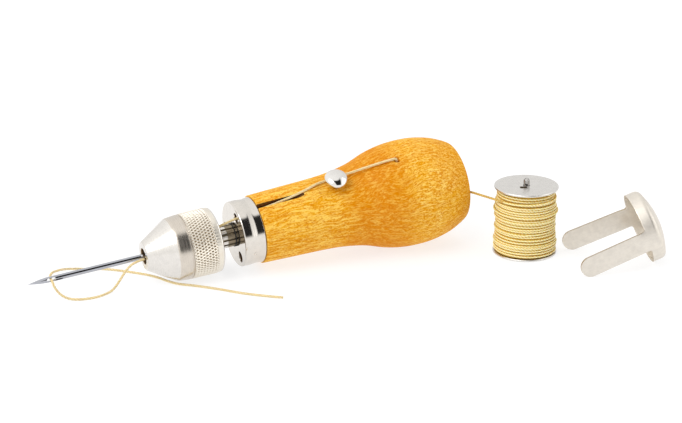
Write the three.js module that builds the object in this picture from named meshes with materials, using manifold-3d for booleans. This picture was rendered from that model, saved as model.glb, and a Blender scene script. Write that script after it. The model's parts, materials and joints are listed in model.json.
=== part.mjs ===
// A hand sewing awl for leather, with its bobbin of waxed thread and its end clip lying beside it.
// Millimetres, +Z up. The awl lies on the table along X, its needle towards -X, resting on the
// chuck's front edge and on the handle's bulb. The bobbin stands behind the handle's open end.
import * as THREE from 'three';
import { mergeVertices } from 'three/addons/utils/BufferGeometryUtils.js';
import Module from 'manifold-3d';

const wasm = await Module();
wasm.setup();

// ---------------------------------------------------------------- driving dimensions
// Along the awl's axis everything is measured from the ferrule's front face:
// negative towards the needle's tip, positive towards the handle's open end.
const GAP = 0.3;                    // clearance between pieces that touch
const OVERRUN = 1;                  // how far a cutter runs past the piece that it cuts

const HANDLE_END = 87;              // the handle's open end
const BULB_AT = 68;
const BULB_R = 19.5;
const BORE_R = 13.15;               // holds the bobbin and the clip's tines
const BORE_FLOOR = 56;
const SIDE_HOLE_AT = 61.3;
const SIDE_HOLE_R = 1.15;

const FERRULE_R = 11.9;
const FERRULE_LENGTH = 7.65;
const FERRULE_WALL = 0.7;
const FERRULE_HOLE_R = 1.85;
const FERRULE_HOLE_CIRCLE_R = 8.4;

const THREAD_ANGLE = 62;            // round the axis from the side facing -Y, towards the top
const SIDE_HOLE_ANGLE = 63.2;
const TENSION_POST_AT = 37.8;
const TENSION_POST_ANGLE = 63;
const TENSION_STEM_R = 1.6;
const GROOVE_WIDTH = 1.9;
const GROOVE_END = 27;

const POST_R = 4;                   // the fluted post between ferrule and chuck
const POST_FLUTES = 12;
const POST_FRONT = -5.9;
const POST_BACK = 13;
const POST_RING_AT = -0.6;
const NECK_R = 3.2;
const STUD_R = 3;
const STUD_FRONT = -20.4;
const STUD_BACK = 11;
const STUD_BORE_R = STUD_R + GAP;
const KEYWAY_WIDTH = 1.6;
const KEYWAY_FLOOR = 1.45;

const CHUCK_NOSE = -33.85;
const CHUCK_NOSE_R = 5.05;
const NOSE_HOLE_R = 2.85;
const CONE_END = -24.05;
const CONE_END_R = 11.05;
const BAND_END = -19.5;
const CHUCK_R = 11.67;              // the edge that the chuck rests on
const RIM_START = -9.9;
const CHUCK_REAR = -7.6;
const CHUCK_REAR_R = 11.77;
const CHUCK_CAVITY_R = 7.2;

const NEEDLE_TIP = -75.7;
const NEEDLE_BUTT = -20.9;
const NEEDLE_R = 1;
const EYE_AT = -67.4;
const EYE_LENGTH = 3.4;
const EYE_WIDTH = 1.4;

const BOBBIN_AT = [103.5, -25.1];
const FLANGE_R = 11.67;
const FLANGE_THICK = 0.8;
const BOBBIN_HEIGHT = 25.4;
const CORE_R = 4;
const PIN_R = 1.1;
const WINDING_R = 10.4;

const CLIP_AT = [136.5, -49.4];
const CLIP_YAW = -15.6;
const CAP_R = 12.95;
const CAP_SKIRT = 3.2;
const CAP_HEIGHT = 7.6;
const SHEET = 0.75;
const TINE_WIDTH = 7.5;
const TINE_LENGTH = 26;
const TINE_SPLAY = 1.2;

const THREAD_R = 0.45;
const THREAD_SIDES = 8;
const THREAD_STEP = 2;               // along the lying and straight stretches
const FINE_THREAD_STEP = 1.25;       // where it winds round the tension post and the needle

const ROUND = 32;                   // segments round the large turned pieces
const SMALL_ROUND = 20;             // segments round the slender ones

// The handle's outline from the ferrule to its rounded end: a straight waist that swells to a bulb.
const waistAndBulb = new THREE.SplineCurve([
  [8, 12.35], [20, 12.75], [31, 13.1], [39, 13.7], [47.5, 15.25], [55, 17.75], [61.5, 19.1],
  [BULB_AT, BULB_R], [74, 19.1], [80, 17.75], [84.6, 15.85],
].map(([x, r]) => new THREE.Vector2(x, r))).getPoints(17).map((p) => [p.x, p.y]);

// The awl tips forward until the chuck's edge and the bulb both touch the table.
const slopes = waistAndBulb.map(([x, r]) => (r - CHUCK_R) / (x - BAND_END));
const pitch = Math.atan(Math.max(...slopes));
const axisHeight = CHUCK_R * Math.cos(pitch) - BAND_END * Math.sin(pitch);

// ---------------------------------------------------------------- materials
const metal = (color, roughness) => new THREE.MeshStandardMaterial({ color, roughness, metalness: 1 });
const plain = (color, roughness) => new THREE.MeshStandardMaterial({ color, roughness, metalness: 0 });
const WOOD = plain(0xc98420, 0.35);
const NICKEL = metal(0xd9d4cb, 0.22);
const SATIN_NICKEL = metal(0xd2ccc0, 0.4);
const DARK_STEEL = metal(0x6c675c, 0.4);
const NEEDLE_STEEL = metal(0x9b9ba0, 0.25);
const BRASS = metal(0xb8964a, 0.35);
const BLACK_RUBBER = plain(0x141414, 0.6);
const THREAD = plain(0xe6d290, 0.7);

// ---------------------------------------------------------------- geometry helpers
const rad = (degrees) => THREE.MathUtils.degToRad(degrees);

function solidOf(geometry) {
  const bare = geometry.clone();
  bare.deleteAttribute('normal');
  bare.deleteAttribute('uv');
  const merged = mergeVertices(bare, 1e-4);
  return new wasm.Manifold(new wasm.Mesh({
    numProp: 3,
    vertProperties: new Float32Array(merged.attributes.position.array),
    triVerts: new Uint32Array(merged.index.array),
  }));
}

function geometryOf(solid) {
  const mesh = solid.getMesh();
  const geometry = new THREE.BufferGeometry();
  geometry.setAttribute('position', new THREE.BufferAttribute(new Float32Array(mesh.vertProperties), 3));
  geometry.setIndex(new THREE.BufferAttribute(new Uint32Array(mesh.triVerts), 1));
  geometry.computeVertexNormals();
  return geometry;
}

function cut(geometry, ...cutters) {
  return geometryOf(cutters.reduce((solid, cutter) => solid.subtract(solidOf(cutter)), solidOf(geometry)));
}

function join(geometry, ...others) {
  return geometryOf(others.reduce((solid, other) => solid.add(solidOf(other)), solidOf(geometry)));
}

// Turned about X from [x, radius] pairs, which go towards +X on the outside.
function turned(profile, segments = ROUND) {
  const points = profile.map(([x, r]) => new THREE.Vector2(r, x));
  return new THREE.LatheGeometry(points, segments).rotateZ(-Math.PI / 2);
}

// The same about Z, from [z, radius] pairs.
function turnedUpright(profile, segments = ROUND) {
  return turned(profile, segments).rotateY(-Math.PI / 2);
}

const tube = (x0, x1, inner, outer) => [[x0, inner], [x0, outer], [x1, outer], [x1, inner], [x0, inner]];

// A quarter round from (x0, r0) to (x1, r1), convex outwards, leaving along the radius.
function quarter(x0, r0, x1, r1, steps = 4) {
  return Array.from({ length: steps + 1 }, (_, i) => {
    const angle = (i / steps) * Math.PI / 2;
    return [x0 + (x1 - x0) * (1 - Math.cos(angle)), r0 + (r1 - r0) * Math.sin(angle)];
  });
}

// A point at a station along the awl's axis, at a radius and an angle round it.
function aroundAxis(x, radius, angle) {
  return new THREE.Vector3(x, -radius * Math.cos(rad(angle)), radius * Math.sin(rad(angle)));
}

// A cylinder along the radius at a station, between two radii.
function radialRod(x, angle, radius, from, to, segments = 16) {
  const rod = new THREE.CylinderGeometry(radius, radius, to - from, segments);
  rod.translate(0, (from + to) / 2, 0);
  return rod.rotateX(rad(180 - angle)).translate(x, 0, 0);
}

// A cylinder along X.
function axialRod(x0, x1, radius, segments = SMALL_ROUND) {
  return new THREE.CylinderGeometry(radius, radius, x1 - x0, segments)
    .rotateZ(-Math.PI / 2).translate((x0 + x1) / 2, 0, 0);
}

// A flat plate whose outline lies in the plane through the axis at an angle, from [x, radius] points.
function plateThroughAxis(outline, width, angle) {
  const shape = new THREE.Shape(outline.map(([x, r]) => new THREE.Vector2(x, r)));
  const plate = new THREE.ExtrudeGeometry(shape, { depth: width, bevelEnabled: false });
  plate.translate(0, 0, -width / 2);
  return plate.rotateX(rad(180 - angle));
}

function threadTube(points, step = THREAD_STEP) {
  const path = new THREE.CatmullRomCurve3(points, false, 'centripetal');
  const section = new THREE.Shape(Array.from({ length: THREAD_SIDES }, (_, i) => {
    const angle = (i + 0.5) * 2 * Math.PI / THREAD_SIDES;
    return new THREE.Vector2(THREAD_R * Math.cos(angle), THREAD_R * Math.sin(angle));
  }));
  const steps = Math.ceil(path.getLength() / step);
  return new THREE.ExtrudeGeometry(section, { extrudePath: path, steps, bevelEnabled: false });
}

function named(name, geometry, material) {
  const mesh = new THREE.Mesh(geometry, material);
  mesh.name = name;
  return mesh;
}

// ---------------------------------------------------------------- the handle
function woodHandle() {
  const front = FERRULE_WALL + GAP;
  const tenonR = FERRULE_R - FERRULE_WALL - GAP;
  const shoulder = FERRULE_LENGTH + GAP;
  const body = turned([
    [front, POST_R + GAP + 0.2], [front, tenonR], [shoulder, tenonR], [shoulder, 12.1],
    ...waistAndBulb,
    [86.3, 14.7], [HANDLE_END, 13.75], [HANDLE_END, BORE_R],
    [BORE_FLOOR, BORE_R], [BORE_FLOOR, 0], [POST_BACK + GAP, 0], [POST_BACK + GAP, POST_R + GAP + 0.2],
    [front, POST_R + GAP + 0.2],
  ]);
  const sideHole = radialRod(SIDE_HOLE_AT, SIDE_HOLE_ANGLE, SIDE_HOLE_R, BORE_R - 3, BULB_R + OVERRUN, 12);
  const grooveFloorFront = FERRULE_HOLE_CIRCLE_R - 2;
  const groove = plateThroughAxis([
    [front - OVERRUN, grooveFloorFront], [GROOVE_END, 13], [GROOVE_END, BULB_R],
    [front - OVERRUN, BULB_R],
  ], GROOVE_WIDTH, THREAD_ANGLE);
  const recesses = [1, 2].map((i) => {
    const centre = aroundAxis(0, FERRULE_HOLE_CIRCLE_R, THREAD_ANGLE + 120 * i);
    return axialRod(front - OVERRUN, front + 3, FERRULE_HOLE_R, 12).translate(0, centre.y, centre.z);
  });
  const postSocket = radialRod(TENSION_POST_AT, TENSION_POST_ANGLE, TENSION_STEM_R + GAP, 8, BULB_R, 16);
  return named('wood_handle', cut(body, sideHole, groove, postSocket, ...recesses), WOOD);
}

function ferrule() {
  const edge = 1.2;
  const cup = turned([
    [0, POST_R + GAP], ...quarter(0, FERRULE_R - edge, edge, FERRULE_R, 3), [FERRULE_LENGTH, FERRULE_R],
    [FERRULE_LENGTH, FERRULE_R - FERRULE_WALL], [FERRULE_WALL, FERRULE_R - FERRULE_WALL],
    [FERRULE_WALL, POST_R + GAP], [0, POST_R + GAP],
  ]);
  const holes = [0, 1, 2].map((i) => {
    const centre = aroundAxis(0, FERRULE_HOLE_CIRCLE_R, THREAD_ANGLE + 120 * i);
    return axialRod(-OVERRUN, FERRULE_WALL + OVERRUN, FERRULE_HOLE_R, 16).translate(0, centre.y, centre.z);
  });
  return named('ferrule', cut(cup, ...holes), NICKEL);
}

// A short round post with a polished domed head: the thread takes a turn round its stem.
function tensionPost() {
  const foot = 8.5;
  const headUnder = 16.2;
  const headR = 4.15;
  const headTop = 18.6;
  const body = turned([
    [foot, 0], [foot, TENSION_STEM_R], [headUnder, TENSION_STEM_R], [headUnder, headR - 0.4],
    ...quarter(headUnder, headR - 0.4, headUnder + 0.5, headR, 2).slice(1),
    ...quarter(headTop, 0, headUnder + 0.5, headR, 5).reverse().slice(1),
  ], 24);
  body.rotateZ(Math.PI / 2).rotateX(rad(180 - TENSION_POST_ANGLE));
  return named('tension_post', body.translate(TENSION_POST_AT, 0, 0), NICKEL);
}

// ---------------------------------------------------------------- the post and its screw
function flutedPost() {
  const toothDepth = 0.35;
  const outline = new THREE.Shape(Array.from({ length: POST_FLUTES * 4 }, (_, i) => {
    const r = i % 4 < 2 ? POST_R : POST_R - toothDepth;
    const angle = (i + 0.5) * 2 * Math.PI / (POST_FLUTES * 4);
    return new THREE.Vector2(r * Math.cos(angle), r * Math.sin(angle));
  }));
  outline.holes.push(new THREE.Path().absarc(0, 0, STUD_BORE_R, 0, 2 * Math.PI, true));
  const depth = POST_BACK - POST_FRONT;
  const body = new THREE.ExtrudeGeometry(outline, { depth, bevelEnabled: false, curveSegments: 12 });
  return named('fluted_post', body.rotateY(Math.PI / 2).translate(POST_FRONT, 0, 0), DARK_STEEL);
}

function postRing() {
  const wire = new THREE.TorusGeometry(POST_R + GAP + 0.25, 0.25, 6, 24);
  return named('post_ring', wire.rotateY(Math.PI / 2).translate(POST_RING_AT, 0, 0), BLACK_RUBBER);
}

// The chuck screws onto this stud; the thread runs through its keyway.
function threadedStud() {
  const neckEnd = -9.4;
  const neckBack = POST_FRONT - GAP;
  const body = turned([
    [STUD_FRONT, 0], [STUD_FRONT, STUD_R - 0.4], [STUD_FRONT + 0.4, STUD_R], [neckEnd, STUD_R],
    [neckEnd, NECK_R + 0.4], [neckBack, NECK_R + 0.4], [neckBack, STUD_R], [STUD_BACK, STUD_R], [STUD_BACK, 0],
  ], 24);
  const keyway = plateThroughAxis([
    [STUD_FRONT - OVERRUN, KEYWAY_FLOOR], [-13, KEYWAY_FLOOR], [-9, NECK_R + OVERRUN],
    [STUD_FRONT - OVERRUN, NECK_R + OVERRUN],
  ], KEYWAY_WIDTH, THREAD_ANGLE);
  return named('threaded_stud', cut(body, keyway), SATIN_NICKEL);
}

// ---------------------------------------------------------------- the chuck
function chuckBody() {
  const noseEdge = 0.5;
  const grooveWidth = 0.5;
  const grooveR = CHUCK_R - 0.35;
  return named('chuck_body', turned([
    [CHUCK_NOSE, NOSE_HOLE_R], ...quarter(CHUCK_NOSE, CHUCK_NOSE_R - noseEdge, CHUCK_NOSE + noseEdge, CHUCK_NOSE_R, 2),
    [CONE_END, CONE_END_R], [CONE_END + 0.4, CONE_END_R + 0.2], [BAND_END, CHUCK_R],
    [BAND_END + 0.1, grooveR], [BAND_END + 0.1 + grooveWidth, grooveR], [BAND_END + 0.2 + grooveWidth, CHUCK_R],
    [RIM_START, CHUCK_REAR_R], ...quarter(CHUCK_REAR, CHUCK_REAR_R - 0.6, CHUCK_REAR - 0.6, CHUCK_REAR_R, 3).reverse(),
    [CHUCK_REAR, CHUCK_CAVITY_R], [-26.4, CHUCK_CAVITY_R], [-30.8, NOSE_HOLE_R + 0.35],
    [-31.4, NOSE_HOLE_R], [CHUCK_NOSE, NOSE_HOLE_R],
  ]), NICKEL);
}

function chuckBush() {
  const outer = CHUCK_CAVITY_R - GAP;
  return named('chuck_bush', turned(tube(-20, -14, STUD_R + GAP, outer), 24), BRASS);
}

// ---------------------------------------------------------------- the needle and its collet
function needle() {
  const bladeBack = -70;
  const body = turned([
    [NEEDLE_TIP, 0], [NEEDLE_TIP + 1.6, 0.34], [bladeBack, 0.9], [bladeBack + 2, NEEDLE_R],
    [NEEDLE_BUTT - 0.3, NEEDLE_R], [NEEDLE_BUTT, NEEDLE_R - 0.3], [NEEDLE_BUTT, 0],
  ], 12);
  const eye = new THREE.BoxGeometry(EYE_LENGTH, 4, EYE_WIDTH).translate(EYE_AT, 0, 0);
  return named('needle', cut(body, eye), NEEDLE_STEEL);
}

function needleCollet() {
  const inner = NEEDLE_R + 0.15;
  const body = turned([
    [-29, inner], [-29, 2.6], [-26.6, 4.6], [-21, 4.6], [-21, inner], [-29, inner],
  ], 24);
  const slot = plateThroughAxis([[-29 - OVERRUN, 0], [-20, 0], [-20, 6], [-29 - OVERRUN, 6]], 1.7, THREAD_ANGLE);
  return named('needle_collet', cut(body, slot), BRASS);
}

// ---------------------------------------------------------------- the bobbin
function bobbinFlange(name, base, slotted) {
  const disc = turnedUpright([
    [base, PIN_R + 0.15], [base, FLANGE_R - 0.1], [base + FLANGE_THICK / 2, FLANGE_R],
    [base + FLANGE_THICK, FLANGE_R - 0.1], [base + FLANGE_THICK, PIN_R + 0.15], [base, PIN_R + 0.15],
  ]);
  if (!slotted) return named(name, disc, NICKEL);
  const slot = new THREE.BoxGeometry(2.3, 1.1, 3).translate(-0.9, -2.4, base);
  return named(name, cut(disc, slot), NICKEL);
}

function bobbinCore() {
  const base = FLANGE_THICK + GAP;
  const top = BOBBIN_HEIGHT - FLANGE_THICK - GAP;
  return named('bobbin_core', turnedUpright(tube(base, top, PIN_R + 0.15, CORE_R), 20), SATIN_NICKEL);
}

function bobbinPin() {
  const lift = 0.5;
  const shoulder = BOBBIN_HEIGHT + 1.6;
  return named('bobbin_pin', turnedUpright([
    [lift, 0], [lift, PIN_R], [shoulder, PIN_R], ...quarter(shoulder + 1.1, 0, shoulder, PIN_R, 3).reverse().slice(1),
  ], 12), NICKEL);
}

function threadWinding() {
  const base = FLANGE_THICK + GAP;
  const top = BOBBIN_HEIGHT - FLANGE_THICK - GAP;
  return named('thread_winding', turnedUpright([
    [base, CORE_R + GAP], [base, WINDING_R], [(base + top) / 2, WINDING_R + 0.3], [top, WINDING_R - 0.2],
    [top, CORE_R + GAP], [base, CORE_R + GAP],
  ]), THREAD);
}

// ---------------------------------------------------------------- the end clip
// A domed cap that closes the bore, with two springy tines that go in beside the bobbin.
// Its own X runs from the tines to the cap's crown, and its rim is at x = 0.
function endClip() {
  const corner = 2.2;
  const crown = (outer, x0, x1) => Array.from({ length: 5 }, (_, i) => {
    const q = 1 - i / 4;
    return [x0 + (x1 - x0) * (1 - q * q), outer * q];
  });
  const inner = CAP_R - SHEET;
  const cornerStart = CAP_SKIRT + corner;
  const cap = turned([
    [0, inner], [0, CAP_R], [CAP_SKIRT, CAP_R],
    ...quarter(cornerStart, CAP_R - corner, CAP_SKIRT, CAP_R, 4).reverse().slice(1, -1),
    ...crown(CAP_R - corner, cornerStart, CAP_HEIGHT),
    ...crown(inner - corner, cornerStart - SHEET, CAP_HEIGHT - SHEET).reverse(),
    [CAP_SKIRT - SHEET, inner], [0, inner],
  ]);
  const half = TINE_WIDTH / 2;
  const outline = new THREE.Shape();
  outline.moveTo(CAP_SKIRT - 1, -half);
  outline.lineTo(CAP_SKIRT - 1, half);
  outline.lineTo(half - TINE_LENGTH, half);
  outline.absarc(half - TINE_LENGTH, 0, half, Math.PI / 2, 3 * Math.PI / 2, false);
  const root = CAP_R - SHEET - 0.1;
  const tines = [-1, 1].map((side) => {
    const plate = new THREE.ExtrudeGeometry(outline, { depth: SHEET, bevelEnabled: false, curveSegments: 10 });
    plate.translate(-CAP_SKIRT + 1, 0, -SHEET / 2).rotateX(Math.PI / 2);
    plate.rotateZ(-side * Math.atan(TINE_SPLAY / TINE_LENGTH));
    return plate.translate(CAP_SKIRT - 1, side * (root - 0.2), 0);
  });
  return named('end_clip', join(cap, ...tines), SATIN_NICKEL);
}

// ---------------------------------------------------------------- the thread
// From the side hole, over the handle, once round the tension post, down the groove, out of the
// ferrule and up to the chuck's rear.
function threadRun() {
  const turnR = TENSION_STEM_R + THREAD_R + 0.25;
  const centre = aroundAxis(TENSION_POST_AT, 1, TENSION_POST_ANGLE);
  const outward = centre.clone().setX(0).normalize();
  const alongHandle = new THREE.Vector3(1, 0, 0);
  const sideways = new THREE.Vector3().crossVectors(alongHandle, outward);
  const turnSteps = 14;
  const turn = Array.from({ length: turnSteps + 1 }, (_, i) => {
    const angle = Math.PI / 2 + (i / turnSteps) * 2 * Math.PI;
    const height = 15.4 - 1.05 * (i / turnSteps);
    return new THREE.Vector3(TENSION_POST_AT, 0, 0)
      .addScaledVector(outward, height)
      .addScaledVector(alongHandle, turnR * Math.cos(angle))
      .addScaledVector(sideways, -turnR * Math.sin(angle));
  });
  return named('thread_run', threadTube([
    aroundAxis(SIDE_HOLE_AT + 0.1, 15.2, SIDE_HOLE_ANGLE),
    aroundAxis(SIDE_HOLE_AT, 18.2, SIDE_HOLE_ANGLE),
    aroundAxis(SIDE_HOLE_AT - 0.7, 19.6, SIDE_HOLE_ANGLE),
    aroundAxis(SIDE_HOLE_AT - 3.3, 19.35, 64),
    aroundAxis(50, 17.3, 67.5),
    aroundAxis(43.3, 15.6, 70.8),
    ...turn,
    aroundAxis(32.4, 13.95, 72.6),
    aroundAxis(26, 13.35, 66.6),
    aroundAxis(20, 12.5, 62.8),
    aroundAxis(12, 10.8, THREAD_ANGLE),
    aroundAxis(4, 9.1, THREAD_ANGLE),
    aroundAxis(0, 8.3, THREAD_ANGLE),
    aroundAxis(-3.5, 7.2, THREAD_ANGLE),
    aroundAxis(-7, 6, THREAD_ANGLE),
  ], FINE_THREAD_STEP), THREAD);
}

// Through the chuck: the stud's keyway, the collet's slot and round the needle to the nose.
function threadInChuck() {
  return named('thread_in_chuck', threadTube([
    aroundAxis(-7.4, 5.85, THREAD_ANGLE),
    aroundAxis(-10.6, 4.4, THREAD_ANGLE),
    aroundAxis(-13.6, 2.6, THREAD_ANGLE),
    aroundAxis(-16, 2.05, THREAD_ANGLE),
    aroundAxis(-21, 2, THREAD_ANGLE),
    aroundAxis(-27, 1.85, THREAD_ANGLE),
    aroundAxis(-29.4, 1.8, 56),
    aroundAxis(-31.6, 1.8, 28),
    aroundAxis(-33.6, 1.85, 2),
  ], FINE_THREAD_STEP), THREAD);
}

// From the winding, round the mouth's edge and along the bore to the side hole.
function threadFeed() {
  return named('thread_feed', threadTube([
    [92.8, -28.3, 21.4], [91.1, -23.4, 21.3], [89.1, -17.9, 21.2], [87.3, -13.3, 21.1], [85.2, -11.3, 21.2],
    [80, -10.7, 21.6], [73, -10.1, 23.1], [66, -8.6, 26], [61.6, -6.4, 28.9],
  ].map((p) => new THREE.Vector3(...p)), FINE_THREAD_STEP), THREAD);
}

// The free end: out of the chuck's nose, over the table, through the needle's eye and back past
// the chuck to its cut end.
function threadTail() {
  return named('thread_tail', threadTube([
    [-34, -1.95, 10.1], [-35.7, -2.2, 9.9], [-37.3, -2.3, 9.5], [-38.8, -2.2, 8.8], [-40.3, -2.1, 7.5],
    [-41.8, -2.1, 5.7], [-43.3, -2.2, 3.7], [-44.8, -2.4, 1.9], [-46.5, -3, 0.75], [-49.3, -4.5, 0.46],
    [-52.9, -5.9, 0.46], [-56.6, -6, 0.46], [-59.8, -5.3, 0.5], [-62.5, -4.3, 0.95], [-64.6, -3.6, 2.2],
    [-66, -3.25, 3.9], [-66.8, -2.9, 5.4], [-67.1, -2.1, 6.7], [-67.2, -1, 7.25], [-67.2, 0, 7.4],
    [-67.05, 1.2, 7.55], [-66.4, 2.7, 7.8], [-65.1, 4.4, 7.8], [-63.5, 6, 7.4],
    [-61.3, 8.2, 6.7], [-58.3, 12, 5.1], [-55.1, 15.4, 3.4], [-51.9, 18.2, 1.9], [-48.2, 19.4, 0.7],
    [-44.7, 18.9, 0.46], [-41.2, 16.8, 0.46], [-37.1, 13.3, 0.46], [-33.3, 9.6, 0.46], [-30.2, 6.2, 0.46],
    [-27.7, 2.3, 0.46], [-25.8, -1.8, 0.46], [-23.4, -5.6, 0.46], [-18.4, -9.8, 0.46], [-11.9, -16, 0.46],
    [-5.6, -22.8, 0.46], [2, -29.2, 0.46], [5.7, -31.9, 0.46],
  ].map((p) => new THREE.Vector3(...p))), THREAD);
}

// ---------------------------------------------------------------- the set on its table
const awl = new THREE.Group();
awl.add(
  woodHandle(), ferrule(), tensionPost(), flutedPost(), postRing(), threadedStud(),
  chuckBody(), chuckBush(), needle(), needleCollet(), threadRun(), threadInChuck(),
);
awl.rotation.y = -pitch;
awl.position.z = axisHeight;

const bobbin = new THREE.Group();
bobbin.add(
  bobbinFlange('bobbin_bottom_flange', 0, false),
  bobbinFlange('bobbin_top_flange', BOBBIN_HEIGHT - FLANGE_THICK, true),
  bobbinCore(), bobbinPin(), threadWinding(),
);
bobbin.position.set(...BOBBIN_AT, 0);

// The clip leans until its rim and the round ends of both tines touch the table.
const halfTine = TINE_WIDTH / 2;
const tineReach = TINE_LENGTH - halfTine;
const clipPitch = Math.acos(halfTine / Math.hypot(CAP_R, tineReach)) - Math.atan2(tineReach, CAP_R);
const clip = new THREE.Group();
clip.add(endClip());
clip.rotation.set(0, -clipPitch, rad(CLIP_YAW), 'ZYX');
clip.position.set(...CLIP_AT, CAP_R * Math.cos(clipPitch));

const FREE_THREAD = ['thread_feed', 'thread_tail'];
const set = new THREE.Group();
set.add(awl, bobbin, clip, threadFeed(), threadTail());
set.updateMatrixWorld(true);

// The origin is on the table, at the middle of the box round everything but the free thread.
const extent = new THREE.Box3();
set.traverse((node) => {
  if (node.isMesh && !FREE_THREAD.includes(node.name)) extent.expandByObject(node, true);
});
const middle = extent.getCenter(new THREE.Vector3());
set.position.set(-middle.x, -middle.y, -extent.min.z);

export default set;
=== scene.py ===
"""A hand sewing awl for leather, with its bobbin of waxed thread and its end clip, on a pale table.

Sizes are in millimetres in each group's own frame, and become metres when a mesh is made.
The awl's frame has its origin on the axis at the ferrule's front, and +X towards the open end.
Angles round the awl start at the side facing -Y and go up."""
import json
import math

import bmesh
import bpy
import numpy as np
from mathutils import Matrix, Vector


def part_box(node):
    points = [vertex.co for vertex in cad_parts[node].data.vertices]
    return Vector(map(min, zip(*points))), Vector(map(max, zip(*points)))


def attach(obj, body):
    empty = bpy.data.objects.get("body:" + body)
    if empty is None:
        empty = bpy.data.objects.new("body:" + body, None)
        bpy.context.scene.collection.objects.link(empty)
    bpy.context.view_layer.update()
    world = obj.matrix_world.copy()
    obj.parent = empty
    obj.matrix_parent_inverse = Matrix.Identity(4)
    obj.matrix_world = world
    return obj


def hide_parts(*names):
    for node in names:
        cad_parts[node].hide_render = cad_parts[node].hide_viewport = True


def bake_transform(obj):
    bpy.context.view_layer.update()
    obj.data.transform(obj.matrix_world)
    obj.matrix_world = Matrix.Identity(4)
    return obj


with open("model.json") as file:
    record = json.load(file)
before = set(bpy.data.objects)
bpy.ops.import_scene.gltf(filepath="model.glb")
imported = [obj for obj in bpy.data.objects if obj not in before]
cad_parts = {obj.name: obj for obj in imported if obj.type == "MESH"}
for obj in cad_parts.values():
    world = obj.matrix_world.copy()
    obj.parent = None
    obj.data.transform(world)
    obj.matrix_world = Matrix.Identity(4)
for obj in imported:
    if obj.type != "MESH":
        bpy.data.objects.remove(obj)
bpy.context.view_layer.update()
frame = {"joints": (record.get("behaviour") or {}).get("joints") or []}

MM = 0.001

# ---------------------------------------------------------------- driving dimensions
HANDLE_FRONT = 1.0
HANDLE_SHOULDER = 7.95
HANDLE_END = 87.0
BORE_R = 13.15
BORE_FLOOR = 56.0
HANDLE_OUTLINE = [
    (8, 12.35), (20, 12.75), (31, 13.1), (39, 13.7), (47.5, 15.25), (55, 17.75), (61.5, 19.1),
    (68, 19.5), (74, 19.1), (80, 17.75), (84.6, 15.85),
]
SIDE_HOLE_AT = 61.3
SIDE_HOLE_R = 1.15
SIDE_HOLE_ANGLE = 63.2
SHOULDER_R = 12.34
WAIST_R = 12.4
GROOVE_WIDTH = 1.9
GROOVE_END = 27.0

FERRULE_R = 11.9
FERRULE_LENGTH = 7.65
FERRULE_WALL = 0.7
FERRULE_HOLE_R = 1.85
FERRULE_HOLE_CIRCLE_R = 8.4
FERRULE_HOLLOW = [(1.2, 11.84), (2.8, FERRULE_R), (4.0, 11.79), (5.2, 11.67), (6.3, 11.76), (7.3, 11.89)]
DIMPLE_AT = 3.7
DIMPLE_ANGLE = -21
DIMPLE_R = 0.8

THREAD_ANGLE = 62.0
TENSION_POST_AT = 37.8
TENSION_POST_ANGLE = 63.0
TENSION_STEM_R = 1.6

POST_R = 4.0
POST_FLUTES = 12
POST_FRONT = -5.9
POST_BACK = 13.0
POST_RING_AT = -0.6
STUD_R = 3.0
STUD_FRONT = -20.4
STUD_BACK = 11.0
KEYWAY_WIDTH = 1.6
KEYWAY_FLOOR = 1.45
SCREW_PITCH = 1.0

CHUCK_NOSE = -33.85
CHUCK_NOSE_R = 5.05
NOSE_HOLE_R = 2.85
CONE_END = -24.05
CONE_END_R = 11.05
BAND_END = -19.5
CHUCK_R = 11.67
RIM_START = -9.9
CHUCK_REAR = -7.6
CHUCK_REAR_R = 11.77
CHUCK_CAVITY_R = 7.2
KNURL_TEETH = 66
KNURL_ANGLE = 27.0
KNURL_DEPTH = 0.42

NEEDLE_TIP = -75.7
NEEDLE_BUTT = -20.9
NEEDLE_R = 1.0
EYE_AT = -67.4
EYE_LENGTH = 3.4
EYE_WIDTH = 1.4

BOBBIN_AT = (103.5, -25.1)
FLANGE_R = 11.67
FLANGE_THICK = 0.8
BOBBIN_HEIGHT = 25.4
CORE_R = 4.0
PIN_R = 1.1
WINDING_OUTLINE = [              # height and radius
    (1.25, 10.95), (3, 11.0), (6, 10.8), (9, 10.6), (12, 10.5), (14.5, 10.6), (16.5, 10.85), (18, 10.8),
    (19.5, 10.45), (21, 10.25), (24.1, 10.1),
]
FLANGE_SLOT_YAW = -23.6
PIN_SPLIT_YAW = -24

CLIP_AT = (136.5, -49.4)
CLIP_YAW = -15.6
CAP_R = 12.95
CAP_SKIRT = 3.2
CAP_CORNER = 2.2
CAP_HEIGHT = 7.6
SHEET = 0.75
TINE_WIDTH = 7.5
TINE_LENGTH = 26.0
TINE_SPLAY = 1.2

THREAD_R = 0.45
THREAD_LAY = 3.6                 # length in which the plies go once round
THREAD_STEP = 0.28               # between a drawn thread's points
FEED_START = (92.8, -28.3, 21.4)

# the camera, at the photograph's viewing angle
CAMERA_TARGET = (37.05, -10.0, 19.94)
CAMERA_AZIMUTH = -23.6
CAMERA_ELEVATION = 20.26
CAMERA_DISTANCE = 711.78
CAMERA_LENS = 105.57

# ---------------------------------------------------------------- frames
joints = {joint["name"]: joint for joint in frame["joints"]}


def table_frame():
    """The frame that the routes of the loose thread are given in."""
    low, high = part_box("bobbin_bottom_flange")
    centre = (low + high) / 2
    return Matrix.Translation((centre.x - BOBBIN_AT[0] * MM, centre.y - BOBBIN_AT[1] * MM, low.z))


def awl_frame():
    """Its axis is that of the chuck's joint."""
    along = -Vector(joints["chuck_turn"]["axis"]).normalized()
    across = Vector((0, 1, 0))
    turn = Matrix((along, across, along.cross(across))).transposed()
    return Matrix.Translation(joints["chuck_turn"]["pos_m"]) @ turn.to_4x4()


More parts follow.
